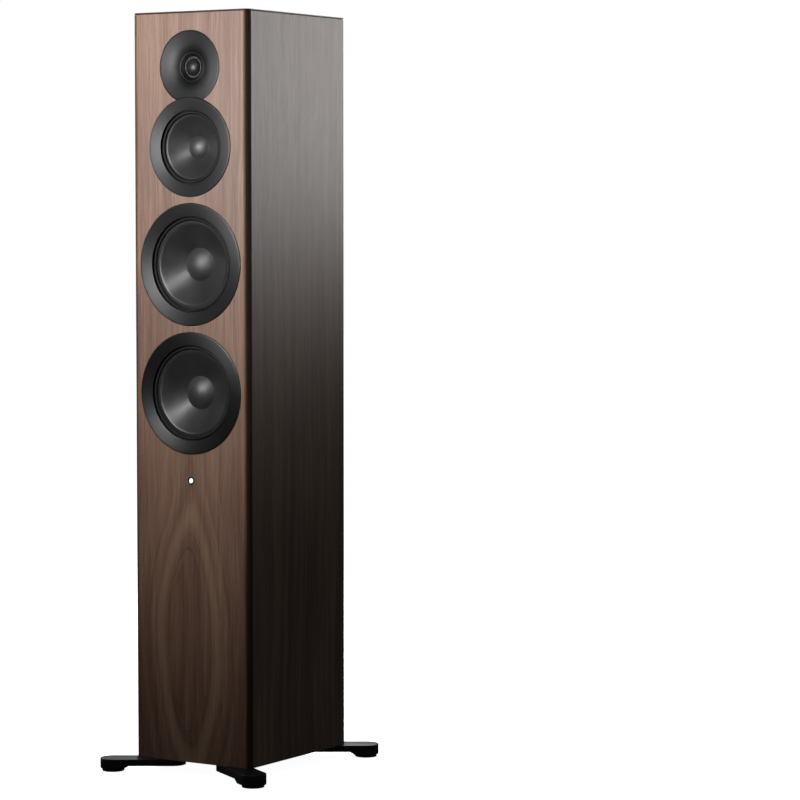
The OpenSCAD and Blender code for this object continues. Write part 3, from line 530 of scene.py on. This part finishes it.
def smooth(piece, angle=40):
    activate(piece)
    bpy.ops.object.shade_smooth_by_angle(angle=math.radians(angle))


def evenNormals(piece):
    # large faces keep their true direction beside the rounded edges
    applyModifier(piece, "WEIGHTED_NORMAL", mode="FACE_AREA", weight=100, keep_sharp=True)


def addBlock(name, low, high):
    clearSelection()
    low, high = Vector(low), Vector(high)
    bpy.ops.mesh.primitive_cube_add(size=1, location=(low + high) / 2, scale=high - low)
    bpy.ops.object.transform_apply(location=True, rotation=True, scale=True)
    block = bpy.context.active_object
    block.name = name
    block.data.name = name
    return block


def roundFrontEdges(block, radius, segments):
    activate(block)
    bpy.ops.object.mode_set(mode="EDIT")
    bpy.ops.mesh.select_mode(type="EDGE")
    bpy.ops.mesh.select_all(action="DESELECT")
    mesh = bmesh.from_edit_mesh(block.data)
    front = min(v.co.y for v in mesh.verts)
    for edge in mesh.edges:
        a, b = edge.verts[0].co, edge.verts[1].co
        upright = (a - b).normalized().z ** 2 > 0.99
        edge.select_set(upright and max(a.y, b.y) < front + 1e-5)
    bmesh.update_edit_mesh(block.data)
    bpy.ops.mesh.bevel(offset=radius * mm, segments=segments, affect="EDGES")
    bpy.ops.mesh.select_mode(type="VERT")
    bpy.ops.object.mode_set(mode="OBJECT")


def closeEnds(piece):
    activate(piece)
    bpy.ops.object.mode_set(mode="EDIT")
    bpy.ops.mesh.select_all(action="DESELECT")
    bpy.ops.mesh.select_mode(type="EDGE")
    bpy.ops.mesh.select_non_manifold()
    bpy.ops.mesh.fill_holes(sides=0)
    bpy.ops.mesh.select_mode(type="VERT")
    bpy.ops.mesh.select_all(action="SELECT")
    bpy.ops.mesh.normals_make_consistent(inside=False)
    bpy.ops.object.mode_set(mode="OBJECT")


def cutAway(piece, cutter):
    applyModifier(piece, "BOOLEAN", operation="DIFFERENCE", object=cutter, solver="EXACT")
    bpy.data.objects.remove(cutter)


def workedCopy(node, name, width, segments=2, angle=30):
    # a copy of the CAD solid with its faces merged, ready for bevelled edges
    activate(nodes[node])
    bpy.ops.object.duplicate()
    piece = bpy.context.active_object
    piece.parent = None
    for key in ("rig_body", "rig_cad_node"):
        if key in piece:
            del piece[key]
    piece.name = name
    piece.data.name = name
    bpy.ops.object.mode_set(mode="EDIT")
    bpy.ops.mesh.select_all(action="SELECT")
    bpy.ops.mesh.remove_doubles(threshold=2e-6)
    bpy.ops.mesh.dissolve_limited(angle_limit=math.radians(1.0))
    bpy.ops.mesh.normals_make_consistent(inside=False)
    bpy.ops.object.mode_set(mode="OBJECT")
    if width:
        softenEdges(piece, width, segments, angle)
    smooth(piece)
    return piece


cabinet = {
    # all in mm
    "edgeRadius": 9.0,
    "skin": 2.5,  # veneered lip round the top and bottom panels
    "coreGap": 0.1,  # between that lip and the panels' cores
    "rearGap": 0.2,
    "topSheet": 2.2,
    "topGap": 0.5,
    "bottomLift": 0.3,
    "wallInside": 18.0,
    "baffleInside": 25.0,
}
recesses = {
    # name: recess radius, recess depth, hole radius
    "mid": (75.4, 9.0, 59.9),
    "woofer_upper": (93.1, 9.0, 76.8),
    "woofer_lower": (93.1, 9.0, 76.8),
    "tweeter": (55.4, 4.0, 35.5),
}
# how far the cutters stand out of the front face and reach behind it
cutting = {"above": 4, "below": 40, "steps": 160, "lightHole": 5.2, "lightSteps": 48}


def middle(node):
    low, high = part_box(node)
    return (low + high) / 2


heights = {name: middle(name + "_trim_ring").z for name in ("mid", "woofer_upper", "woofer_lower")}
tweeterZ = heights["tweeter"] = middle("tweeter_dome").z
lightZ = middle("status_light_bezel").z


def turnSolid(name, profile, centreZ, steps):
    piece = turnPiece(name, profile, centreZ, steps=steps)
    closeEnds(piece)
    return piece


def makeCabinet():
    size = cabinet
    low = Vector((-halfWidth, frontY, bottomLow.z))
    high = Vector((halfWidth, rearY, topHigh.z - (size["topSheet"] + size["topGap"]) * mm))
    wrap = addBlock("cabinetWrap", low, high)
    roundFrontEdges(wrap, size["edgeRadius"], 12)
    softenEdges(wrap, 0.4, 2, 50)
    inside = addBlock(
        "insideCut",
        (-halfWidth + size["wallInside"] * mm, frontY + size["baffleInside"] * mm, bottomHigh.z),
        (halfWidth - size["wallInside"] * mm, rearY + 0.01, topLow.z),
    )
    cutAway(wrap, inside)
    skin = size["skin"] * mm
    for lowZ, highZ in ((bottomLow.z - 0.01, bottomHigh.z), (topLow.z, topHigh.z + 0.01)):
        lipLow = (-halfWidth + skin, frontY + skin, lowZ)
        lip = addBlock("lipCut", lipLow, (halfWidth - skin, rearY + 0.01, highZ))
        roundFrontEdges(lip, size["edgeRadius"] - size["skin"], 8)
        cutAway(wrap, lip)
    above, below = cutting["above"], -cutting["below"]
    for name, (recess, depth, hole) in recesses.items():
        profile = [(recess, above), (recess, -depth), (hole, -depth), (hole, below)]
        cutAway(wrap, turnSolid(name + "Cut", profile, heights[name], cutting["steps"]))
    profile = [(cutting["lightHole"], above), (cutting["lightHole"], below)]
    cutAway(wrap, turnSolid("lightCut", profile, lightZ, cutting["lightSteps"]))
    smooth(wrap, 30)
    evenNormals(wrap)
    dress(wrap, walnutFront)
    wrap.data.materials.append(walnutCorner)
    reach = (size["edgeRadius"] + 0.1) * mm
    for face in wrap.data.polygons:
        turned = abs(face.normal.x) > 0.02 and abs(face.normal.y) > 0.02
        if turned and abs(face.center.x) > halfWidth - reach and face.center.y < frontY + reach:
            face.material_index = 1
    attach(wrap, "root")
    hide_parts("front_baffle", "left_side_panel", "right_side_panel")


makeCabinet()


def makeTopPanel():
    size = cabinet
    sheetLow = topHigh.z - size["topSheet"] * mm
    skin = (size["skin"] + size["coreGap"]) * mm
    sheet = addBlock("topPanel", (-halfWidth, frontY, sheetLow), (halfWidth, rearY, topHigh.z))
    roundFrontEdges(sheet, size["edgeRadius"], 10)
    softenEdges(sheet, 0.5, 3, 50)
    smooth(sheet, 30)
    dress(sheet, walnutTop)
    coreHigh = (halfWidth - skin, rearY - size["rearGap"] * mm, sheetLow)
    block = addBlock("topPanelCore", (-halfWidth + skin, frontY + skin, topLow.z), coreHigh)
    roundFrontEdges(block, size["edgeRadius"] - size["skin"], 8)
    smooth(block, 30)
    dress(block, blackBoard)
    for piece in (sheet, block):
        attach(piece, "root")
    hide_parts("top_panel")


makeTopPanel()


def makeBottomPanel():
    size = cabinet
    panel = workedCopy("bottom_panel", "bottomPanel", 0)
    skin = (size["skin"] + size["coreGap"]) * mm
    roomLow = (-halfWidth + skin, frontY + skin, bottomLow.z + size["bottomLift"] * mm)
    roomHigh = (halfWidth - skin, rearY - size["rearGap"] * mm, bottomHigh.z)
    room = addBlock("room", roomLow, roomHigh)
    roundFrontEdges(room, size["edgeRadius"] - size["skin"], 8)
    applyModifier(panel, "BOOLEAN", operation="INTERSECT", object=room, solver="EXACT")
    bpy.data.objects.remove(room)
    smooth(panel, 30)
    finishPiece(panel, blackBoard, "bottom_panel", "root")


makeBottomPanel()

rearPanel = workedCopy("rear_panel", "rearPanel", 0.8, 2)
finishPiece(rearPanel, blackBoard, "rear_panel", "root")
for nodeName in ("window_braces", "mid_chamber"):
    dress(nodes[nodeName], rawBoard)
print("cabinet made")


turning = {"spacing": 0.00045, "relief": 0.1, "reliefDepth": 0.00004, "swing": 0.03}
# painted shade: near-black laid into the tweeter's throat recess
throatPaintedShade = (0.012, 0.012, 0.013, 1)


def shade(colour, share, lift=0.0):
    return tuple(min(1.0, c * share + lift) for c in colour[:3]) + (1,)


def mixPatterns(tree, a, b):
    return sums(tree, "ADD", sums(tree, "MULTIPLY", a, 0.6), sums(tree, "MULTIPLY", b, 0.4))


def turnedMetal(name, centreZ, colour, roughness, anisotropy, paintedShadeInside=0.0):
    # satin metal with fine turning marks round the driver's own axis
    material, tree, shader = startMaterial(name, metallic=1.0)
    coords = objectCoords(tree)
    radius, x, z = radiusAbout(tree, coords, centreZ)
    rings = sums(tree, "DIVIDE", radius, turning["spacing"])
    marks = noise(tree, combine(tree, rings, 0.0, 0.0), detail=2.0)
    tone = mixPatterns(tree, marks, noise(tree, coords, scale=2500.0, detail=2.0))
    satin = blendColours(tree, ramp(tree, tone, 0.35, 0.65), shade(colour, 0.8), colour)
    # painted shade: inside that radius the throat recess is darkened
    if paintedShadeInside:
        inside = ramp(tree, radius, paintedShadeInside, paintedShadeInside - 0.0012)
        satin = blendColours(tree, inside, satin, throatPaintedShade)
    plug(tree, shader.inputs["Base Color"], satin)
    varyRoughness(tree, shader, tone, roughness, -turning["swing"])
    shader.inputs["Anisotropic"].default_value = anisotropy
    outwards = addNode(tree, "ShaderNodeVectorMath", operation="NORMALIZE")
    plug(tree, outwards.inputs[0], combine(tree, x, 0.0, z))
    plug(tree, shader.inputs["Tangent"], outwards.outputs[0])
    bump(tree, tone, turning["relief"], turning["reliefDepth"], shader)
    return material


def mouldedMaterial(name, colour, roughness, grit=1400.0, specular=0.5, relief=0.25):
    material, tree, shader = startMaterial(name, specular=specular)
    coords = objectCoords(tree)
    fine = noise(tree, coords, scale=grit, detail=3.0, rough=0.6)
    broad = noise(tree, coords, scale=35.0, detail=2.0)
    cloud = ramp(tree, mixPatterns(tree, fine, broad), 0.35, 0.65)
    tinted = blendColours(tree, cloud, colour, shade(colour, 1.35, 0.004))
    plug(tree, shader.inputs["Base Color"], tinted)
    varyRoughness(tree, shader, broad, roughness, 0.04)
    bump(tree, fine, relief, 0.00006, shader)
    return material


def nearBlack(grey, blue=0.0):
    return (grey, grey, grey + blue, 1)


coneMaterial = mouldedMaterial("coneBlack", nearBlack(0.023, 0.001), 0.34, 2200.0, 0.9, 0.04)
capMaterial = mouldedMaterial("capBlack", nearBlack(0.026, 0.001), 0.46, 2200.0, 1.0, 0.1)
rubberMaterial = mouldedMaterial("surroundRubber", nearBlack(0.008), 0.5, 1800.0, 0.25)
domeMaterial = mouldedMaterial("domeCloth", nearBlack(0.01, 0.001), 0.36, 3000.0, 0.6)
glossBlack = mouldedMaterial("glossBlack", nearBlack(0.008, 0.001), 0.12, 600.0, relief=0.03)
footBlack = mouldedMaterial("footBlack", nearBlack(0.009, 0.0005), 0.38, 900.0, 0.3, 0.08)
padRubber = mouldedMaterial("padRubber", nearBlack(0.02), 0.55, 1500.0)
mattePlastic = mouldedMaterial("mattePlastic", nearBlack(0.016, 0.001), 0.34, 1600.0)
panelBlack = mouldedMaterial("panelBlack", nearBlack(0.042, 0.002), 0.4, 1100.0, relief=0.5)

wooferSize = {"ringR": 92.7, "ringInR": 72.3, "coneR": 62.4, "capR": 25.5, "capH": 8.0, "neck": 16.5}
midSize = {"ringR": 75.0, "ringInR": 55.4, "coneR": 48.0, "capR": 17.8, "capH": 6.0, "neck": 13.0}
# each ring's satin grey differs per driver as painted light: lighter low down, darker higher up, to
# offset the light's falloff down the front
drivers = {
    "woofer_upper": {**wooferSize, "paintedLightGrey": 0.05},
    "woofer_lower": {**wooferSize, "paintedLightGrey": 0.064},
    "mid": {**midSize, "paintedLightGrey": 0.042},
}
ringwork = {"proud": 1.2, "dish": 1.0, "depth": 5.0, "bow": 1.3, "roughness": 0.40, "anisotropy": 0.72}
rollwork = {"rollR": 2.5, "inset": 3.5, "flatten": 0.82, "base": 5.4, "drop": 0.75, "thick": 0.75}
conework = {"seat": 6.0, "slope": 0.52, "thick": 1.2, "tuck": 1.6, "hollow": 0.8}
capwork = {"thick": 0.7, "seat": 0.75}


def coneDepth(size, radius):
    return conework["seat"] + (size["coneR"] - radius) * conework["slope"]


def makeTrimRing(name, size):
    outer, inner = size["ringR"], size["ringInR"]
    proud, dish, depth = ringwork["proud"], ringwork["dish"], ringwork["depth"]
    steps = 12
    profile = [(inner, -depth), (outer, -depth), (outer, proud - 0.9), (outer - 0.3, proud - 0.25)]
    for i in range(steps + 1):
        share = i / steps
        radius = outer - 1.0 + (inner + 1.2 - (outer - 1.0)) * share
        profile.append((radius, proud - (proud + dish) * share ** ringwork["bow"]))
    profile += [(inner + 0.4, -dish - 0.2), (inner, -dish - 0.8), (inner, -depth)]
    ring = turnPiece(name + "TrimRing", profile, heights[name], steps=160)
    softenEdges(ring, 0.18, 2, 50)
    smooth(ring, 30)
    # the ring's grey carries painted light, set per driver against the falloff down the front
    paintedLightGrey = (size["paintedLightGrey"], size["paintedLightGrey"], size["paintedLightGrey"] * 1.02, 1)
    satin = turnedMetal(
        name + "RingSatin", heights[name], paintedLightGrey, ringwork["roughness"], ringwork["anisotropy"],
    )
    finishPiece(ring, satin, name + "_trim_ring", "root")


def makeSurround(name, size):
    rollR = rollwork["rollR"]
    rollC = size["ringInR"] - rollwork["inset"]
    lipIn = size["coneR"] - 0.5
    upper = [(size["ringInR"] + 2.6, -5.05)]
    for i in range(13):
        angle = math.pi * i / 12
        fall = max(i - 6, 0) / 6 * rollwork["drop"]  # the inner half comes down to the cone
        rise = rollR * math.sin(angle) * rollwork["flatten"]
        upper.append((rollC + rollR * math.cos(angle), -rollwork["base"] - fall + rise))
    upper += [(lipIn + 1.6, -6.28), (lipIn + 0.5, -6.24), (lipIn, -6.38)]
    lower = [(radius, forward - rollwork["thick"]) for radius, forward in reversed(upper)]
    piece = turnPiece(name + "Surround", upper + lower + [upper[0]], heights[name], steps=128)
    smooth(piece, 60)
    finishPiece(piece, rubberMaterial, name + "_surround")
    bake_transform(piece)


def makeCone(name, size):
    thick, tuck = conework["thick"], conework["tuck"]
    coneR, neck = size["coneR"], size["neck"]
    front = [(coneR + tuck, -6.35), (coneR + 0.3, -6.3)]
    steps = 14
    for i in range(steps + 1):
        share = i / steps
        radius = coneR - 0.4 + (neck + 1.0 - coneR + 0.4) * share
        hollow = conework["hollow"] * math.sin(math.pi * share)
        front.append((radius, -coneDepth(size, radius) - hollow - 0.15 * (1 - share)))
    back = [(radius, forward - thick) for radius, forward in reversed(front)]
    cone = turnPiece(name + "Cone", front + back + [front[0]], heights[name], steps=128)
    smooth(cone, 50)
    finishPiece(cone, coneMaterial, name + "_cone", name + "_diaphragm")


def domeLift(rimR, height, radius):
    # how far a dome of that rim and height stands forward at a radius
    ball = (rimR * rimR + height * height) / (2 * height)
    return math.sqrt(max(ball * ball - radius * radius, 0)) - (ball - height)


def makeDustCap(name, size):
    capR, capH = size["capR"], size["capH"]
    rim = -coneDepth(size, capR) - capwork["seat"]
    front = [(capR + 0.5, rim - 0.35), (capR + 0.3, rim + 0.05), (capR - 0.1, rim + 0.25)]
    steps = 18
    for i in range(1, steps + 1):
        radius = capR * (1 - i / steps) - 0.1 * (1 - i / steps)
        front.append((radius, rim + 0.3 + domeLift(capR, capH, radius)))
    front[-1] = (0, front[-1][1])
    cap = turnPiece(name + "DustCap", front, heights[name], steps=96)
    applyModifier(cap, "SOLIDIFY", thickness=capwork["thick"] * mm, offset=-1)
    smooth(cap, 60)
    finishPiece(cap, capMaterial, name + "_dust_cap", name + "_diaphragm")


for driverName, driverSize in drivers.items():
    makeTrimRing(driverName, driverSize)
    makeSurround(driverName, driverSize)
    makeCone(driverName, driverSize)
    makeDustCap(driverName, driverSize)
print("cone drivers made")


tweeter = {
    "plateR": 55.0,
    "lip": 0.75,
    "back": 4,
    "boss": (17.2, 34, 9.7, 11.9),  # radii and depths of the boss behind the plate
    "throatR": 21.5,
    "throat": 6.5,
    "ridges": 4,
    "ridgeStep": (1.4, 0.62),
    "domeRingR": 15.7,
    "domeR": 12.7,
    "domeH": 5.5,
    "domeDepth": 9.0,
    "domeThick": 0.45,
    "notchR": 75.4,  # where the midrange's ring lets into the plate
    "satin": (0.037, 0.0375, 0.038, 1),
}
tweeterRoll = {"centreR": 13.9, "rollR": 0.95, "rise": 0.75, "base": 10.25, "drop": 0.2, "thick": 0.35}


def tweeterProfile(size):
    plateR, throatR = size["plateR"], size["throatR"]
    lip, back = size["lip"], -size["back"]
    profile = [(34, back), (plateR, back), (plateR, -0.3), (plateR - 0.35, 0.45)]
    steps = 14
    for i in range(steps + 1):
        share = i / steps
        radius = plateR - 1.2 + (throatR + 0.6 - plateR + 1.2) * share
        fall = 0.16 * share + 0.84 * share ** 4  # nearly flat, then down into the throat
        profile.append((radius, lip - (lip + size["throat"]) * fall))
    radius, forward = throatR, -size["throat"]
    for i in range(size["ridges"]):
        profile += [(radius, forward), (radius - 0.35, forward + 0.28)]
        profile += [(radius - 0.95, forward + 0.25), (radius - 1.25, forward - 0.55)]
        radius -= size["ridgeStep"][0]
        forward -= size["ridgeStep"][1]
    bossIn, bossOut, bossFront, bossBack = size["boss"]
    ringR = size["domeRingR"] + 0.15
    profile += [(ringR, -size["domeDepth"]), (ringR, -bossFront), (bossIn, -bossFront)]
    return profile + [(bossIn, -bossBack), (bossOut, -bossBack), (bossOut, back)]


def makeTweeter():
    size = tweeter
    plate = turnPiece("tweeterFaceplate", tweeterProfile(size), tweeterZ, steps=160)
    notch = [(size["notchR"], 6), (size["notchR"], -5.2)]
    cutAway(plate, turnSolid("notchCut", notch, heights["mid"], 160))
    smooth(plate, 30)
    throatR = size["throatR"] * mm
    satin = turnedMetal("tweeterPlateSatin", tweeterZ, size["satin"], 0.43, 0.66, paintedShadeInside=throatR)
    finishPiece(plate, satin, "tweeter_faceplate", "root")

    domeR, domeH = size["domeR"], size["domeH"]
    rim = -size["domeDepth"] - 1.15
    front = [(domeR, rim - 0.1)]
    for i in range(17):
        radius = domeR * (1 - i / 16)
        front.append((radius, rim + domeLift(domeR, domeH, radius)))
    front[-1] = (0, front[-1][1])
    dome = turnPiece("tweeterDome", front, tweeterZ, steps=96)
    applyModifier(dome, "SOLIDIFY", thickness=size["domeThick"] * mm, offset=-1)
    smooth(dome, 60)
    finishPiece(dome, domeMaterial, "tweeter_dome", "tweeter_diaphragm")

    size = tweeterRoll
    upper = [(17.05, -size["base"]), (15.2, -size["base"])]
    for i in range(9):
        angle = math.pi * i / 8
        radius = size["centreR"] + size["rollR"] * math.cos(angle)
        fall = size["drop"] * i / 8
        upper.append((radius, -size["base"] - fall + size["rise"] * math.sin(angle)))
    upper.append((12.8, -size["base"] - size["drop"]))
    lower = [(radius, forward - size["thick"]) for radius, forward in reversed(upper)]
    roll = turnPiece("tweeterSurround", upper + lower + [upper[0]], tweeterZ, steps=96)
    smooth(roll, 60)
    finishPiece(roll, domeMaterial, "tweeter_surround")
    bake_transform(roll)


makeTweeter()
print("tweeter made")


lightSize = {
    "bezelR": 6.2,
    "lensR": 3.6,
    "depth": 18,
    "glow": 1.15,
    "glowFrom": (0.0015, 0.0036),
    "dim": 0.35,
}
lensColours = {
    "bright": (0.85, 0.9, 1, 1),
    "shade": (0.7, 0.78, 0.9, 1),
    "rimGlow": (0.55, 0.62, 0.7, 1),
}


def lensMaterial():
    material, tree, shader = startMaterial("lightLens")
    coords = objectCoords(tree)
    radius = radiusAbout(tree, coords, lightZ)[0]
    glow = ramp(tree, radius, *lightSize["glowFrom"], 1.0, lightSize["dim"])
    fine = noise(tree, coords, scale=3000.0, detail=2.0)
    frosted = blendColours(tree, fine, lensColours["bright"], lensColours["shade"])
    plug(tree, shader.inputs["Base Color"], frosted)
    lit = blendColours(tree, glow, lensColours["rimGlow"], (1, 1, 1, 1))
    plug(tree, shader.inputs["Emission Color"], lit)
    shader.inputs["Emission Strength"].default_value = lightSize["glow"]
    shader.inputs["Roughness"].default_value = 0.2
    bump(tree, fine, 0.05, 0.00003, shader)
    return material


def makeStatusLight():
    bezelR, lensR, back = lightSize["bezelR"], lightSize["lensR"], -lightSize["depth"]
    boreR, barrelR = lensR + 0.05, bezelR - 1.05
    profile = [(boreR, back), (barrelR, back), (barrelR, 0), (bezelR, 0)]
    profile += [(bezelR - 0.08, 0.45), (bezelR - 0.5, 0.78), (bezelR - 1.2, 0.8)]
    profile += [(lensR + 0.7, 0.5), (lensR + 0.15, 0.15), (boreR, -0.4), (boreR, back)]
    bezel = turnPiece("statusLightBezel", profile, lightZ, steps=64)
    smooth(bezel, 40)
    finishPiece(bezel, glossBlack, "status_light_bezel", "root")
    dome = [(lensR, back), (lensR, -0.1), (lensR - 0.2, 0.1)]
    for i in range(1, 6):
        radius = (lensR - 0.2) * (1 - i / 5)
        dome.append((radius, 0.1 + 0.28 * (1 - (radius / lensR) ** 2)))
    dome[-1] = (0, dome[-1][1])
    lens = turnSolid("statusLightLens", dome, lightZ, 48)
    smooth(lens, 40)
    finishPiece(lens, lensMaterial(), "status_light_lens", "root")


makeStatusLight()
print("status light made")


feet = {
    # piece: bevel in mm, its segments, angle it starts at
    "arm": (1.6, 4, 40),
    "pad": (0.6, 3, 40),
}
for corner in ("front_left", "front_right", "rear_left", "rear_right"):
    ending = corner.title().replace("_", "")
    armNode, padNode = "outrigger_" + corner, "levelling_foot_" + corner
    arm = workedCopy(armNode, "outrigger" + ending, *feet["arm"])
    finishPiece(arm, footBlack, armNode, "root")
    pad = workedCopy(padNode, "levellingFoot" + ending, *feet["pad"])
    finishPiece(pad, padRubber, padNode, "foot_" + corner)
print("feet made")


def metalMaterial(name, colour, roughness, scratch=400.0):
    material, tree, shader = startMaterial(name, metallic=1.0)
    fine = noise(tree, objectCoords(tree), scale=scratch, detail=4.0, rough=0.6)
    worn = blendColours(tree, ramp(tree, fine, 0.35, 0.65), shade(colour, 0.7), colour)
    plug(tree, shader.inputs["Base Color"], worn)
    varyRoughness(tree, shader, fine, roughness, 0.08)
    bump(tree, fine, 0.1, 0.00003, shader)
    return material


copperCoil = metalMaterial("coilCopper", (0.75, 0.36, 0.18, 1), 0.32, 900.0)
screwSteel = metalMaterial("fastenerSteel", (0.45, 0.45, 0.46, 1), 0.46)
socketGold = metalMaterial("socketGold", (0.85, 0.6, 0.24, 1), 0.22)
socketSteel = metalMaterial("socketSteel", (0.55, 0.55, 0.57, 1), 0.28)
circuitGreen = boardMaterial(
    "circuitGreen", (0.012, 0.09, 0.035, 1), (0.02, 0.14, 0.055, 1), 0.35, 260.0,
)
supplyBlue = boardMaterial("supplyBlue", (0.03, 0.07, 0.12, 1), (0.045, 0.1, 0.17, 1), 0.35, 260.0)
foamGrey = boardMaterial(
    "foamGrey", (0.055, 0.056, 0.06, 1), (0.09, 0.09, 0.095, 1), 0.9, 1400.0, specular=0.2,
)

rearCopies = {
    # node: piece name, bevel in mm, its segments, material, slot, body
    "amp_panel": ("ampPanel", 0.45, 2, panelBlack, "panel_black", "root"),
    "mains_inlet": ("mainsInlet", 0.35, 2, mattePlastic, "matte_black", "root"),
    "phono_sockets": ("phonoSockets", 0.3, 2, socketGold, "socket_gold", "root"),
    "link_socket": ("linkSocket", 0.3, 2, socketSteel, "socket_steel", "root"),
    "power_switch": ("powerRocker", 0.5, 3, mattePlastic, "matte_black", "power_rocker"),
    "pair_button": ("pairingButton", 0.35, 3, socketSteel, "socket_steel", "pairing_button"),
}
for nodeName, (pieceName, width, segments, material, slotName, bodyName) in rearCopies.items():
    fitting = workedCopy(nodeName, pieceName, width, segments)
    finishPiece(fitting, material, nodeName, bodyName)
print("rear fittings made")


screwSize = {
    "headR": 4.0,
    "headH": 2.0,
    "shankR": 2.0,
    "rootR": 1.55,
    "plain": 1.2,  # shank without thread under the head
    "tip": 2.5,
    "length": 18.0,
    "pitch": 1.5,
    "slot": 0.8,
    "slotLength": 4.4,
    "slotDepth": 1.3,
    "turn": 2.7,
}


def makeScrew():
    # head's top at the origin, shank towards +Y
    size = screwSize
    headR, shankR, rootR, pitch = size["headR"], size["shankR"], size["rootR"], size["pitch"]
    depth = -size["headH"] - size["plain"]
    profile = [(0.5, 0.0), (headR - 0.6, 0.0), (headR - 0.2, -0.06), (headR, -0.25)]
    profile += [(shankR, -size["headH"]), (shankR, depth)]
    while depth - pitch > size["tip"] - size["length"]:
        profile += [(rootR, depth - pitch * 0.4), (rootR, depth - pitch * 0.6), (shankR, depth - pitch)]
        depth -= pitch
    profile += [(rootR, depth - 0.5), (0.4, 0.3 - size["length"]), (0, -size["length"])]
    screw = turnPiece("panelScrews", profile, 0.0, steps=24, faceY=0.0)
    closeEnds(screw)
    half, reach = size["slot"] / 2 * mm, size["slotLength"] / 2 * mm
    for wide, tall in ((reach, half), (half, reach)):
        slotHigh = (wide, size["slotDepth"] * mm, tall)
        cutAway(screw, addBlock("slotCut", (-wide, -0.001, -tall), slotHigh))
    smooth(screw, 30)
    return screw


def looseParts(node):
    spots = workedCopy(node, "screwSpots", 0)
    activate(spots)
    bpy.ops.object.mode_set(mode="EDIT")
    bpy.ops.mesh.select_all(action="SELECT")
    bpy.ops.mesh.separate(type="LOOSE")
    bpy.ops.object.mode_set(mode="OBJECT")
    return list(bpy.context.selected_objects)


def placeScrews(node):
    pattern = makeScrew()
    copies = []
    for spot in looseParts(node):
        corners = [v.co for v in spot.data.vertices]
        low = Vector([min(c[i] for c in corners) for i in range(3)])
        high = Vector([max(c[i] for c in corners) for i in range(3)])
        centre = (low + high) / 2
        widest = max(corners, key=lambda c: (c - centre).x ** 2 + (c - centre).z ** 2)
        rearward = widest.y > centre.y
        copy = pattern.copy()
        copy.data = pattern.data.copy()
        scene.collection.objects.link(copy)
        activate(copy)
        turn = screwSize["turn"] * len(copies) % math.pi  # each one stops at its own angle
        copy.rotation_euler = (0, turn, math.pi if rearward else 0)
        copy.location = (centre.x, high.y if rearward else low.y, centre.z)
        bpy.ops.object.transform_apply(location=True, rotation=True, scale=True)
        copies.append(copy)
        bpy.data.objects.remove(spot)
    bpy.data.objects.remove(pattern)
    clearSelection()
    for copy in copies:
        copy.select_set(True)
    bpy.context.view_layer.objects.active = copies[0]
    bpy.ops.object.join()
    screws = bpy.context.active_object
    screws.name = screws.data.name = "panelScrews"
    finishPiece(screws, screwSteel, node, "root")


placeScrews("panel_screws")
print("screws made")


foam = {"cell": 0.0125, "peak": 0.006, "braceHalf": 0.0095, "fill": 0.8}


def makeFoam(name, low, high):
    columns = round((high.x - low.x) / foam["cell"])
    rows = round((high.z - low.z) / foam["cell"])
    clearSelection()
    bpy.ops.mesh.primitive_grid_add(x_subdivisions=columns, y_subdivisions=rows, size=1)
    piece = bpy.context.active_object
    piece.name = piece.data.name = name
    centre = (low + high) / 2
    piece.scale = (high.x - low.x, high.z - low.z, 1)
    piece.rotation_euler = (math.pi / 2, 0, 0)
    piece.location = (centre.x, low.y + foam["peak"], centre.z)
    bpy.ops.object.transform_apply(location=True, rotation=True, scale=True)
    bpy.ops.object.mode_set(mode="EDIT")
    bpy.ops.mesh.select_all(action="SELECT")
    depth = high.y - low.y - foam["peak"]
    bpy.ops.mesh.extrude_region_move(TRANSFORM_OT_translate={"value": (0, depth, 0)})
    bpy.ops.mesh.select_all(action="DESELECT")
    mesh = bmesh.from_edit_mesh(piece.data)
    stepX, stepZ = (high.x - low.x) / columns, (high.z - low.z) / rows
    for vertex in mesh.verts:
        column = round((vertex.co.x - low.x) / stepX)
        row = round((vertex.co.z - low.z) / stepZ)
        vertex.select = vertex.co.y < centre.y and column % 2 == 1 and row % 2 == 1
    bmesh.update_edit_mesh(piece.data)
    bpy.ops.transform.translate(value=(0, -foam["peak"], 0))
    bpy.ops.mesh.select_all(action="SELECT")
    bpy.ops.mesh.normals_make_consistent(inside=False)
    bpy.ops.object.mode_set(mode="OBJECT")
    applyModifier(piece, "SUBSURF", levels=2, render_levels=2)
    smooth(piece, 60)
    dress(piece, foamGrey)
    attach(piece, "root")
    return piece


foamLow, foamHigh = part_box("damping_foam")
braceZ = (heights["woofer_upper"] + heights["woofer_lower"]) / 2
lowerTop = Vector((foamHigh.x, foamHigh.y, braceZ - foam["braceHalf"]))
upperBottom = Vector((foamLow.x, foamLow.y, braceZ + foam["braceHalf"]))
lowerFoam = makeFoam("dampingFoamLower", foamLow, lowerTop)
upperFoam = makeFoam("dampingFoamUpper", upperBottom, foamHigh)
for piece in (lowerFoam, upperFoam):
    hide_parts("damping_foam")
print("damping foam made")


innerLooks = {
    driverName + "_" + partName: material
    for driverName in drivers
    for partName, material in (
        ("basket", castBasket),
        ("spider", amberCloth),
        ("voice_coil", copperCoil),
        ("motor", magnetIron),
    )
}
innerLooks.update({
    "tweeter_voice_coil": copperCoil,
    "tweeter_motor": magnetIron,
    "tweeter_rear_cup": castBasket,
    "foot_bolts": screwSteel,
    "amp_board": circuitGreen,
    "power_supply": supplyBlue,
    "wiring_loom": redWire,
})
for nodeName, material in innerLooks.items():
    dress(nodes[nodeName], material)
print("inner pieces dressed")
